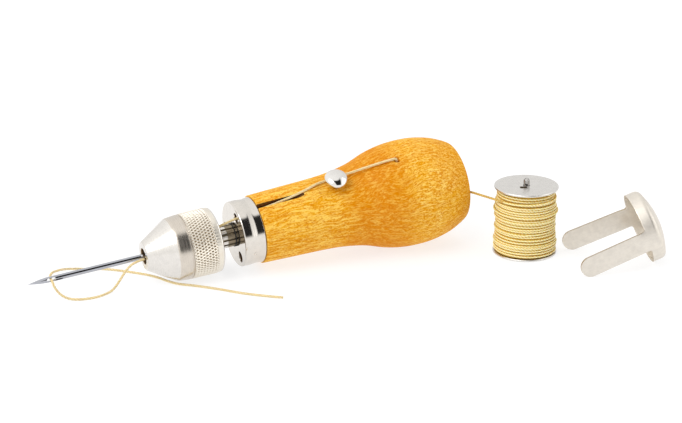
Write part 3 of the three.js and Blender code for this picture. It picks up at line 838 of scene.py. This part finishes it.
def threaded_stud(plate):
    """The stud with its screw, its collar and the keyway that the thread runs through."""
    collar_r, collar_front, collar_back = 3.6, -9.4, -6.2
    outline = parted(rounded([
        (STUD_FRONT, 0), (STUD_FRONT, STUD_R, 0.4), (collar_front, STUD_R, 0.1),
        (collar_front, collar_r, 0.2), (collar_back, collar_r, 0.2), (collar_back, STUD_R, 0.1),
        (STUD_BACK, STUD_R, 0.2), (STUD_BACK, 0),
    ], 0.2, 4, closed=False), SCREW_PITCH / 8)
    angles = ring_angles(64)
    x, r = outline[:, 0, None], outline[:, 1, None]
    phase = (x / SCREW_PITCH - angles / (2 * math.pi)) % 1
    screw = np.clip((x - STUD_FRONT - 0.3) / 0.6, 0, 1) * np.clip((-10 - x) / 0.6, 0, 1)
    depth = 0.5 * np.abs(2 * phase - 1) * screw * (r > STUD_R - 0.05)
    faces = grid_faces(len(outline), len(angles))
    obj = make_mesh("screw_stud", with_radius(x, r - depth, angles), faces, AWL, [plate], sharp=40)
    keyway = radial_frame(0, THREAD_ANGLE)
    half = KEYWAY_WIDTH / 2
    deep = block((KEYWAY_FLOOR, -half, -22), (5, half, -13), keyway)
    slope = [(KEYWAY_FLOOR, -13.1), (5.2, -13.1), (5.2, -8.4)]
    corners = [(out, side, along) for side in (-half, half) for out, along in slope]
    sides = [(0, 1, 2), (3, 4, 5), (0, 1, 4, 3), (1, 2, 5, 4), (2, 0, 3, 5)]
    ramp = make_mesh("ramp", corners, sides, keyway, [])
    cut(obj, deep, ramp, sharp=40)
    stand_for(obj, "handle", "threaded_stud")


# ---------------------------------------------------------------- the chuck
def chuck_body(turned_plate, grip_plate, bright_plate, bore):
    """The cone-nosed chuck. Its grip is a lattice of small four-sided pits between crossing ridges."""
    tooth = 2 * math.pi * CHUCK_R / KNURL_TEETH
    lead = tooth / math.tan(math.radians(KNURL_ANGLE))
    groove = BAND_END + 0.1
    hole_end = -31.4                 # where the nose's hole widens into the cavity
    knurl_start = BAND_END + 0.85
    nose = parted(rounded([
        (hole_end, NOSE_HOLE_R), (CHUCK_NOSE, NOSE_HOLE_R, 0.25), (CHUCK_NOSE, CHUCK_NOSE_R, 0.7),
        (CONE_END, CONE_END_R, 0), (CONE_END + 0.4, CONE_END_R + 0.2, 0), (BAND_END, CHUCK_R, 0.12),
        (groove + 0.05, CHUCK_R - 0.4, 0.12), (groove + 0.45, CHUCK_R - 0.4, 0.12),
        (groove + 0.6, CHUCK_R, 0.1), (knurl_start, CHUCK_R),
    ], 0.2, 5, closed=False)[1:-1], 1.0)
    rows = round((RIM_START - knurl_start) / (lead / 20))
    stations = np.linspace(knurl_start, RIM_START, rows + 1)
    knurl = np.stack([stations, np.interp(stations, [BAND_END, RIM_START], [CHUCK_R, CHUCK_REAR_R])], axis=1)
    rear = parted(rounded([
        (RIM_START, CHUCK_REAR_R), (CHUCK_REAR, CHUCK_REAR_R - 0.2, 0.7), (CHUCK_REAR, CHUCK_CAVITY_R, 0.3),
        (-26.4, CHUCK_CAVITY_R, 0.3), (-30.8, NOSE_HOLE_R + 0.35, 0.1), (hole_end, NOSE_HOLE_R),
    ], 0.2, 5, closed=False)[1:-1], 2.0)
    outline = np.vstack([nose, knurl, rear])
    angles = ring_angles(KNURL_TEETH * 10)
    x, r = outline[:, 0, None], outline[:, 1, None]
    turn = angles * KNURL_TEETH / (2 * math.pi)
    along = (x - knurl_start) / lead
    rise_a = 1 - np.abs(2 * ((turn + along) % 1) - 1)
    rise_b = 1 - np.abs(2 * ((turn - along) % 1) - 1)
    edge = np.clip((x - knurl_start) / 0.3, 0, 1) * np.clip((RIM_START - x) / 0.3, 0, 1) * (r > CHUCK_R - 0.1)
    pit = np.clip(np.minimum(rise_a, rise_b) * 1.5 - 0.25, 0, 1) * edge
    grid = with_radius(x, r - KNURL_DEPTH * pit, angles)
    faces = grid_faces(len(outline), len(angles), wrap_rows=True)
    row = np.arange(len(outline))[:, None] + 0 * angles
    knurl_row = len(nose)
    last_row = knurl_row + len(knurl)
    # each face's place in the list of materials
    kinds = np.zeros(row.shape, int)
    kinds[(x > CONE_END - 0.01) & (x < knurl_start) & (r > CHUCK_R - 1) & (row < knurl_row)] = 2
    kinds[(row >= knurl_row - 1) & (row < last_row)] = 1
    kinds[(row >= last_row) & (r < CHUCK_REAR_R - 0.9) | (row < last_row) & (r < NOSE_HOLE_R + 0.1)] = 3
    materials = [turned_plate, grip_plate, bright_plate, bore]
    # the crowns let the grip's material paint shade into the pits
    obj = make_mesh("chuck_shell", grid, faces, AWL, materials, kinds.ravel(), 24, crown=(1 - pit).ravel())
    stand_for(obj, "chuck", "chuck_body")


def chuck_bush(brass):
    outer = CHUCK_CAVITY_R - 0.3
    outline = rounded([(-20, STUD_R + 0.3), (-20, outer), (-14, outer), (-14, STUD_R + 0.3)], 0.3)
    obj = turned_piece("screw_bush", parted(outline, 1.5), AWL, brass, 96)
    stand_for(obj, "chuck", "chuck_bush")


# ---------------------------------------------------------------- the needle and its collet
def needle(steel):
    """A round needle whose point is a four-edged blade, with an eye and a short groove behind it."""
    blade, length = 6.6, NEEDLE_BUTT - NEEDLE_TIP
    stations = np.concatenate([
        np.linspace(0, 1.2, 8), np.linspace(1.5, blade + 1.5, 40),
        np.linspace(blade + 1.8, 15, 44), np.linspace(15.6, length, 60),
    ])
    rows, columns = len(stations), 64
    angles = ring_angles(columns)
    x = NEEDLE_TIP + stations[:, None]
    swells_at = [0, 0.5, 2.5, 4.5, blade, length - 0.3, length]
    width = np.interp(stations, swells_at, [0, 0.13, 0.58, 0.92, 1.02, 1, 0.75])[:, None]
    tall = np.interp(stations, swells_at, [0, 0.1, 0.46, 0.78, 0.98, 1, 0.75])[:, None]
    roundness = np.interp(stations, [0, blade - 2.4, blade + 1.2], [1.06, 1.12, 2])[:, None]
    blade_turn = math.radians(24)
    c, s = np.abs(np.cos(angles - blade_turn)), np.abs(np.sin(angles - blade_turn))
    radius = (np.maximum(c / np.maximum(width, 1e-6), 1e-9) ** roundness
              + np.maximum(s / np.maximum(tall, 1e-6), 1e-9) ** roundness) ** (-1 / roundness)
    radius = np.where(width < 1e-6, 0, radius * NEEDLE_R)
    half = EYE_LENGTH / 2
    behind = np.clip((x - EYE_AT - half + 0.6) / 0.3, 0, 1) * np.clip((EYE_AT + half + 3.6 - x) / 2.2, 0, 1)
    off = np.abs((np.degrees(angles) + 22 + 180) % 360 - 180)
    channel = 0.42 * behind * np.clip((24 - off) / 10, 0, 1)
    grid = with_radius(x, radius - channel, angles)
    butt = range(columns * (rows - 1), columns * rows)
    faces = [*grid_faces(rows, columns).tolist(), butt]
    obj = make_mesh("needle_blade", grid, faces, AWL, [steel], sharp=28)

    wide = EYE_WIDTH / 2
    quarter = math.pi / 2
    end = [(half - wide + wide * math.cos(a), wide * math.sin(a)) for a in np.linspace(-quarter, quarter, 12)]
    slot = end + [(-u, -v) for u, v in end]
    points = [(EYE_AT + u, y, v) for y in (-2, 2) for u, v in slot]
    count = len(slot)
    faces = [*band(count, 0, count), range(count), range(count, 2 * count)]
    eye = make_mesh("eye", points, faces, AWL, [])
    cut(obj, eye, sharp=28)
    stand_for(obj, "needle_carrier", "needle")


def needle_collet(brass):
    outline = rounded([(-29, 1.15, 0.1), (-29, 2.6), (-26.6, 4.6), (-21, 4.6), (-21, 1.15, 0.1)], 0.2)
    obj = turned_piece("slotted_collet", parted(outline, 1.0), AWL, brass, 96)
    cut(obj, block((0, -0.85, -31), (6, 0.85, -20), radial_frame(0, THREAD_ANGLE)))
    stand_for(obj, "needle_carrier", "needle_collet")


# ---------------------------------------------------------------- the bobbin
def flange(name, node, base, plate, is_top):
    top = base + FLANGE_THICK
    outline = parted(rounded([
        (base, PIN_R + 0.15, 0.05), (base, FLANGE_R, 0.38), (top, FLANGE_R, 0.38), (top, PIN_R + 0.15, 0.05),
    ], 0.2, 6), 0.16)
    grid = upright(turned(outline, ring_angles(320)))
    if is_top:
        # a faint ring stamped beside the middle
        stamp_x, stamp_y, stamp_r = 3.1, 0.6, 3.4
        beside = np.hypot(grid[..., 0] - stamp_x, grid[..., 1] - stamp_y)
        face = (outline[:, 0, None] > top - 0.01) & (outline[:, 1, None] < FLANGE_R - 0.6)
        grid[..., 2] -= 0.05 * np.exp(-((beside - stamp_r) / 0.16) ** 2) * face
    obj = make_mesh(name, grid, grid_faces(len(outline), 320, wrap_rows=True), BOBBIN, [plate])
    if is_top:
        turn = Matrix.Rotation(math.radians(FLANGE_SLOT_YAW), 4, "Z")
        cut(obj, block((-2.5, -3.6, base - 1), (0.05, -1.5, top + 1), BOBBIN @ turn))
    stand_for(obj, "spool", node)


def bobbin_core(plate):
    base, top = FLANGE_THICK + 0.3, BOBBIN_HEIGHT - FLANGE_THICK - 0.3
    outline = rounded([(base, PIN_R + 0.15), (base, CORE_R), (top, CORE_R), (top, PIN_R + 0.15)], 0.2)
    obj = turned_piece("spool_tube", parted(outline, 2), BOBBIN, plate, 96, about_z=True)
    stand_for(obj, "spool", "bobbin_core")


def bobbin_pin(plate):
    """The pin's upper end is split in two round-topped lobes."""
    shoulder = BOBBIN_HEIGHT + 1.6
    dome = [(shoulder + PIN_R * math.sin(a), PIN_R * math.cos(a)) for a in np.linspace(0, math.pi / 2, 14)]
    shaft = rounded([(0.5, 0), (0.5, PIN_R, 0.3), dome[0]], 0.2, 4, closed=False)
    outline = parted(np.vstack([shaft[:-1], dome]), 1.5)
    obj = turned_piece("axle_pin", outline, BOBBIN, plate, 64, about_z=True, closed=False, sharp=60)
    turn = Matrix.Rotation(math.radians(PIN_SPLIT_YAW), 4, "Z")
    split = block((-0.08, -2, BOBBIN_HEIGHT - 0.6), (0.3, 2, BOBBIN_HEIGHT + 4), BOBBIN @ turn)
    cut(obj, split, sharp=60)
    stand_for(obj, "bobbin_axle", "bobbin_pin")


# ---------------------------------------------------------------- the end clip
def cap_outline():
    """The cap's outer outline, from the skirt's edge over the corner and the low crown to the axis."""
    skirt = [(x, CAP_R) for x in np.linspace(0, CAP_SKIRT, 10)[:-1]]
    corner = [(CAP_SKIRT + CAP_CORNER * math.sin(a), CAP_R - CAP_CORNER * (1 - math.cos(a)))
              for a in np.linspace(0, math.pi / 2 * 0.86, 14)]
    edge_x, edge_r = corner[-1]
    crown = [(edge_x + (CAP_HEIGHT - edge_x) * (1 - q * q), edge_r * q) for q in np.linspace(1, 0, 30)[1:]]
    return np.array([*skirt, *corner, *crown])


def tine_half_width(v, fillet):
    """At a distance down from the cap: a fillet first, then straight, then a round end."""
    half = TINE_WIDTH / 2
    past_straight = v - TINE_LENGTH + half
    if v < fillet:
        return half + fillet - math.sqrt(fillet**2 - (fillet - v) ** 2)
    if past_straight > 0:
        return math.sqrt(max(0, half**2 - past_straight**2))
    return half


def end_clip(plate, edge):
    """The domed cap and its two tines, from one sheet: the outer surface, thickened inwards."""
    outline = cap_outline()
    half, fillet, inset, flat_after = TINE_WIDTH / 2, 0.9, 0.28, 4
    across = np.linspace(-1, 1, 19)
    root = np.degrees(np.arcsin(across * (half + fillet) / CAP_R))
    gap = np.linspace(root[-1], 180 - root[-1], 58)[1:-1]
    # 0 degrees is the side facing +Y of the clip's own frame
    angles = np.radians(np.concatenate([root, gap, 180 + root, 180 + gap]))
    x, r = outline[:, 0, None], outline[:, 1, None]
    cap = np.stack([x + 0 * angles, r * np.cos(angles), r * np.sin(angles)], axis=2)
    pieces = [(cap.reshape(-1, 3), grid_faces(len(outline), len(angles)))]

    down = [fillet * (1 - math.cos(a)) for a in np.linspace(0, math.pi / 2, 8)]
    down += list(np.linspace(fillet, TINE_LENGTH - half, 40)[1:])
    down += [TINE_LENGTH - half + half * math.sin(a) for a in np.linspace(0, math.pi / 2, 14)[1:]]
    for side in (1, -1):
        grid = []
        for v in down:
            z = across * tine_half_width(v, fillet)
            flat = eased(v / flat_after)
            y = (1 - flat) * np.sqrt(CAP_R**2 - z**2) + flat * (CAP_R - inset) + v * TINE_SPLAY / TINE_LENGTH
            grid.append(np.stack([np.full_like(z, -v), side * y, side * z], axis=1))
        pieces.append((np.vstack(grid), grid_faces(len(down), len(across), wrap_columns=False)))
    obj = make_mesh("cap_and_tines", *joined(pieces), CLIP, [plate, edge])
    thicken = obj.modifiers.new("sheet", "SOLIDIFY")
    thicken.thickness = SHEET * MM
    thicken.offset = -1
    thicken.use_even_offset = True
    # the cut edges get the brown material, painted shade on the sheet's thickness
    thicken.material_offset_rim = 1
    ease = obj.modifiers.new("edges", "BEVEL")
    ease.width = 0.13 * MM
    ease.segments = 2
    ease.limit_method = "ANGLE"
    ease.angle_limit = math.radians(50)
    settle(obj, 40)
    stand_for(obj, "clip", "end_clip")


# ---------------------------------------------------------------- the thread
def frames_along(path):
    """Two directions across a line at each of its points, which don't twist along it."""
    ahead = np.gradient(path, axis=0)
    ahead /= np.linalg.norm(ahead, axis=1)[:, None]
    side = np.cross(ahead[0], (0.3, 0.2, 1))
    sides = []
    for direction in ahead:
        side = side - direction * (side @ direction)
        side = side / np.linalg.norm(side)
        sides.append(side)
    sides = np.array(sides)
    return sides, np.cross(ahead, sides)


def strand(path, around_count=18, start_turn=0.0, radius=THREAD_R):
    """Three plies twisted together along a line, with closed ends: points, faces and how much each
    point is a ply's crown."""
    sides, ups = frames_along(path)
    along = np.concatenate([[0], np.cumsum(np.linalg.norm(np.diff(path, axis=0), axis=1))])
    turn = ring_angles(around_count)
    ply = turn[None, :] + 0 * along[:, None]
    crown = np.abs(np.cos(1.5 * ply)) ** 0.7
    size = radius * (0.83 + 0.19 * crown)
    swing = ply + (start_turn + along / THREAD_LAY)[:, None] * 2 * math.pi
    rings = (path[:, None] + (size * np.cos(swing))[..., None] * sides[:, None]
             + (size * np.sin(swing))[..., None] * ups[:, None])
    points = np.vstack([rings.reshape(-1, 3), path[:1], path[-1:]])
    count = len(path) * around_count
    last = count - around_count
    faces = grid_faces(len(path), around_count).tolist()
    for j in range(around_count):
        after = (j + 1) % around_count
        faces.append([count, after, j])
        faces.append([count + 1, last + j, last + after])
    return points, faces, np.concatenate([crown.ravel(), [0.5, 0.5]])


def thread_piece(name, path, material):
    points, faces, crown = strand(path)
    return make_mesh(name, points, faces, TABLE, [material], sharp=180, crown=crown)


def over_groove(*places):
    """Points of a route that stay at the thread's own angle, each at a station and a radius."""
    return [around(x, radius, THREAD_ANGLE) for x, radius in places]


def thread_run(material):
    """From the side hole, over the handle, once round the tension post, and to the chuck."""
    turn_r = TENSION_STEM_R + THREAD_R + 0.25
    radial = radial_frame(TENSION_POST_AT, TENSION_POST_ANGLE)
    turn = []
    for i in range(15):
        angle = math.pi / 2 + i / 14 * 2 * math.pi
        local = Vector((15.4 - 1.05 * i / 14, -turn_r * math.sin(angle), turn_r * math.cos(angle)))
        turn.append((TABLE.inverted() @ radial @ (local * MM)) / MM)
    route = [
        around(SIDE_HOLE_AT + 0.1, 15.2, SIDE_HOLE_ANGLE), around(SIDE_HOLE_AT, 18.2, SIDE_HOLE_ANGLE),
        around(SIDE_HOLE_AT - 0.7, 19.6, SIDE_HOLE_ANGLE), around(SIDE_HOLE_AT - 3.3, 19.35, 64),
        around(50, 17.3, 67.5), around(43.3, 15.6, 70.8), *turn,
        around(32.4, 13.95, 72.6), around(26, 13.35, 66.6), around(20, 12.5, 62.8),
        *over_groove((12, 10.8), (4, 9.1), (0, 8.3), (-3.5, 7.2), (-7, 6)),
    ]
    obj = thread_piece("running_thread", centripetal(route, THREAD_STEP), material)
    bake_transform(obj)
    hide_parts("thread_run")


def thread_in_chuck(material):
    """Down the stud's keyway and the collet's slot, then round the needle to the nose."""
    route = [
        *over_groove((-7.4, 5.85), (-10.6, 4.4), (-13.6, 2.6), (-16, 2.05), (-21, 2), (-27, 1.85)),
        around(-29.4, 1.8, 56), around(-31.6, 1.8, 28), around(-33.6, 1.85, 2),
    ]
    obj = thread_piece("thread_through_chuck", centripetal(route, THREAD_STEP), material)
    stand_for(obj, "needle_carrier", "thread_in_chuck")


def thread_feed(material):
    """Taut from the winding, round the mouth's edge and along the bore to the side hole."""
    route = [
        FEED_START, (91.1, -23.4, 21.3), (89.1, -17.9, 21.2), (87.3, -13.3, 21.1), (85.2, -11.3, 21.2),
        (80, -10.7, 21.6), (73, -10.1, 23.1), (66, -8.6, 26), (61.6, -6.4, 28.9),
    ]
    path = centripetal(route, THREAD_STEP)
    obj = thread_piece("feeding_thread", path, material)
    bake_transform(obj)
    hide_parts("thread_feed")


def thread_tail(material):
    """The free end: over the table, through the needle's eye and back past the chuck."""
    route = [
        (-34, -1.95, 10.1), (-35.7, -2.2, 9.9), (-37.3, -2.3, 9.5), (-38.8, -2.2, 8.8), (-40.3, -2.1, 7.5),
        (-41.8, -2.1, 5.7), (-43.3, -2.2, 3.7), (-44.8, -2.4, 1.9), (-46.5, -3, 0.75), (-49.3, -4.5, 0.46),
        (-52.9, -5.9, 0.46), (-56.6, -6, 0.46), (-59.8, -5.3, 0.5), (-62.5, -4.3, 0.95), (-64.6, -3.6, 2.2),
        (-66, -3.25, 3.9), (-66.8, -2.9, 5.4), (-67.1, -2.1, 6.7), (-67.2, -1, 7.25), (-67.2, 0, 7.4),
        (-67.05, 1.2, 7.55), (-66.4, 2.7, 7.8), (-65.1, 4.4, 7.8), (-63.5, 6, 7.4),
        (-61.3, 8.2, 6.7), (-58.3, 12, 5.1), (-55.1, 15.4, 3.4), (-51.9, 18.2, 1.9), (-48.2, 19.4, 0.7),
        (-44.7, 18.9, 0.46), (-41.2, 16.8, 0.46), (-37.1, 13.3, 0.46), (-33.3, 9.6, 0.46), (-30.2, 6.2, 0.46),
        (-27.7, 2.3, 0.46), (-25.8, -1.8, 0.46), (-23.4, -5.6, 0.46), (-18.4, -9.8, 0.46), (-11.9, -16, 0.46),
        (-5.6, -22.8, 0.46), (2, -29.2, 0.46), (5.7, -31.9, 0.46),
    ]
    path = centripetal(route, THREAD_STEP)
    obj = thread_piece("free_thread", path, material)
    stand_for(obj, "needle_carrier", "thread_tail")


def wound(radius, bearing, height, start_turn=0.0):
    """A strand round the bobbin. It is painted paler on the side that faces out, a painted highlight, and
    darker in its gaps, painted shade.
    """
    path = np.stack([radius * np.cos(bearing), radius * np.sin(bearing), height], axis=1)
    around_count = 15
    points, faces, crown = strand(path, around_count, start_turn, THREAD_R * 1.04)
    rings = points[:-2].reshape(len(path), around_count, 3)
    # painted light: the side that faces out gets a high crown value and turns pale, the gaps stay dark
    outwards = (np.hypot(rings[..., 0], rings[..., 1]) - radius[:, None]) / THREAD_R
    facing = np.clip((outwards - 0.25) / 0.65, 0, 1).ravel()
    return points, faces, np.append(facing * (0.55 + 0.45 * crown[:-2]), [0, 0])


def thread_winding(material):
    """Uneven turns over a full bobbin. A few turns lie over the others, and the last one becomes the feed."""
    heights, radii = zip(*WINDING_OUTLINE)
    low, high, turns, step = 1.3, 24.1, 22.2, 0.3
    t = np.arange(0, turns, step / (2 * math.pi * 10.5))
    settled = np.clip(2 * t, 0, 1) * np.clip(2 * (turns - t), 0, 1)
    wander = 0.16 * np.sin(0.9 * t + 0.6) + 0.05 * np.sin(2.9 * t) + 0.05 * np.sin(2 * math.pi * t)
    z = low + (high - low) * t / turns + wander * settled
    r = np.interp(z, heights, radii) + 0.05 * np.sin(4.3 * t) + 0.04 * np.sin(9.1 * t + 1)
    bearing = -t * 2 * math.pi
    pieces = [wound(r, bearing, z)]
    over = [  # start bearing and height, end bearing and height, how far it stands out
        (70, 16.0, -330, 17.2, 0.5), (-20, 14.1, -330, 14.7, 0.4), (10, 4.6, -410, 5.9, 0.3),
        (-100, 9.7, -330, 10.4, 0.35), (-20, 19.6, -300, 20.3, 0.3),
    ]
    for start, from_z, end, to_z, out in over:
        s = np.arange(0, 1, step / (2 * math.pi * 10.8 * abs(end - start) / 360))
        bearing = np.radians(start + (end - start) * s)
        z = from_z + (to_z - from_z) * s + 0.1 * np.sin(7 * s)
        sunk = 0.35                  # its ends go under the other turns
        r = np.interp(z, heights, radii) - sunk + (sunk + out) * eased(np.minimum(s, 1 - s) * 9)
        pieces.append(wound(r, bearing, z, start / 97))

    # the last part of a turn comes up to the outside, where the feed starts
    leaving = math.degrees(math.atan2(FEED_START[1] - BOBBIN_AT[1], FEED_START[0] - BOBBIN_AT[0])) % 360
    s = np.linspace(0, 1, 110)
    bearing = np.radians(leaving + 165 * (1 - s))
    r = 10 + 1.17 * np.clip(s * 3, 0, 1) ** 1.5
    pieces.append(wound(r, bearing, 22.0 - 0.6 * s))

    # what lies under the outer turns; its crown is nought, so it shows the dark gap colour as painted shade
    inner = CORE_R + 0.3
    under = parted(rounded([
        (1.0, inner), (1.0, 10.85, 0.2), (6, 10.68, 0), (12, 10.38, 0), (16.5, 10.72, 0), (20, 10.24, 0),
        (24.4, 9.98, 0.2), (24.4, inner),
    ], 0.2), 0.8)
    grid = upright(turned(under, ring_angles(96))).reshape(-1, 3)
    pieces.append((grid, grid_faces(len(under), 96, wrap_rows=True), np.zeros(len(grid))))
    points, faces = joined([piece[:2] for piece in pieces])
    crown = np.concatenate([piece[2] for piece in pieces])
    obj = make_mesh("thread_turns", points, faces, BOBBIN, [material], sharp=180, crown=crown)
    stand_for(obj, "spool", "thread_winding")


# ---------------------------------------------------------------- the set
make_camera()
loose = waxed_thread("pale_thread", (0.84, 0.69, 0.39), (0.64, 0.46, 0.17))
thread_tail(loose)
# painted shade: the fed thread is a darker golden copy of the same thread
thread_feed(waxed_thread("golden_thread_painted_shade", (0.74, 0.5, 0.13), (0.52, 0.3, 0.04)))
thread_run(loose)
thread_in_chuck(loose)
# painted light: the wound thread is a more golden copy, for light bounced between turns, with a pale painted
# highlight on its crests
thread_winding(waxed_thread("wound_thread_painted_light", (0.83, 0.60, 0.13), (0.66, 0.40, 0.025), (1.0, 0.90, 0.50)))

ROUND_MARKS = (1.6, 0.04, 0.04)
LENGTH_MARKS = (0.05, 1.3, 1.3)
wood_handle(lacquered_wood(), shaded_cut_wood())
brown_bore = metal("brown_bore", AWL, (0.42, 0.29, 0.17), 0.5)
ferrule(metal("polished_nickel_plate", AWL, (0.74, 0.70, 0.645), 0.12, ROUND_MARKS, 0.0015), brown_bore)
tension_post(metal("bright_nickel", AWL, (0.80, 0.78, 0.75), 0.06, depth=0.002))
turned_nickel = metal("turned_nickel_plate", AWL, (0.77, 0.74, 0.70), 0.24, ROUND_MARKS, 0.008)
# its knurl's pits get the painted brown shade
grip_nickel = metal("grip_nickel_plate", AWL, (0.855, 0.80, 0.705), 0.34, shaded_pits=True)
bright_nickel = metal("smooth_nickel_plate", AWL, (0.68, 0.62, 0.545), 0.26, ROUND_MARKS, 0.004)
bright_steel = metal("bare_bright_steel", AWL, (0.90, 0.87, 0.83), 0.5, LENGTH_MARKS, 0.004)
fluted_steel = metal("dark_fluted_steel", AWL, (0.34, 0.285, 0.205), 0.42, LENGTH_MARKS, 0.02, 0.1)
fluted_post(fluted_steel, bright_steel)
post_ring(rubber())
threaded_stud(turned_nickel)
old_brass = metal("old_brass", AWL, (0.42, 0.28, 0.13), 0.4, ROUND_MARKS, 0.01, 0.1)
chuck_body(turned_nickel, grip_nickel, bright_nickel, brown_bore)
chuck_bush(old_brass)
needle(metal("blue_steel", AWL, (0.46, 0.47, 0.51), 0.13, LENGTH_MARKS, 0.004))
needle_collet(old_brass)
flange_plate = metal("satin_flange_plate", BOBBIN, (0.75, 0.73, 0.70), 0.3, depth=0.0015)
flange("lower_flange", "bobbin_bottom_flange", 0, flange_plate, False)
flange("upper_flange", "bobbin_top_flange", BOBBIN_HEIGHT - FLANGE_THICK, flange_plate, True)
bobbin_core(metal("brown_core", BOBBIN, (0.20, 0.14, 0.06), 0.5))
bobbin_pin(metal("pin_nickel", BOBBIN, (0.33, 0.315, 0.30), 0.12))
# painted shade: the sheet's cut edges are brown
cut_edge = metal("cut_edge_painted_shade", CLIP, (0.50, 0.41, 0.29), 0.4)
end_clip(metal("warm_satin_nickel", CLIP, (0.80, 0.75, 0.675), 0.47, (0.12, 1, 1), 0.004, 0.04), cut_edge)

make_world()
make_lights()
make_floor()
bpy.context.scene.view_settings.view_transform = "Standard"
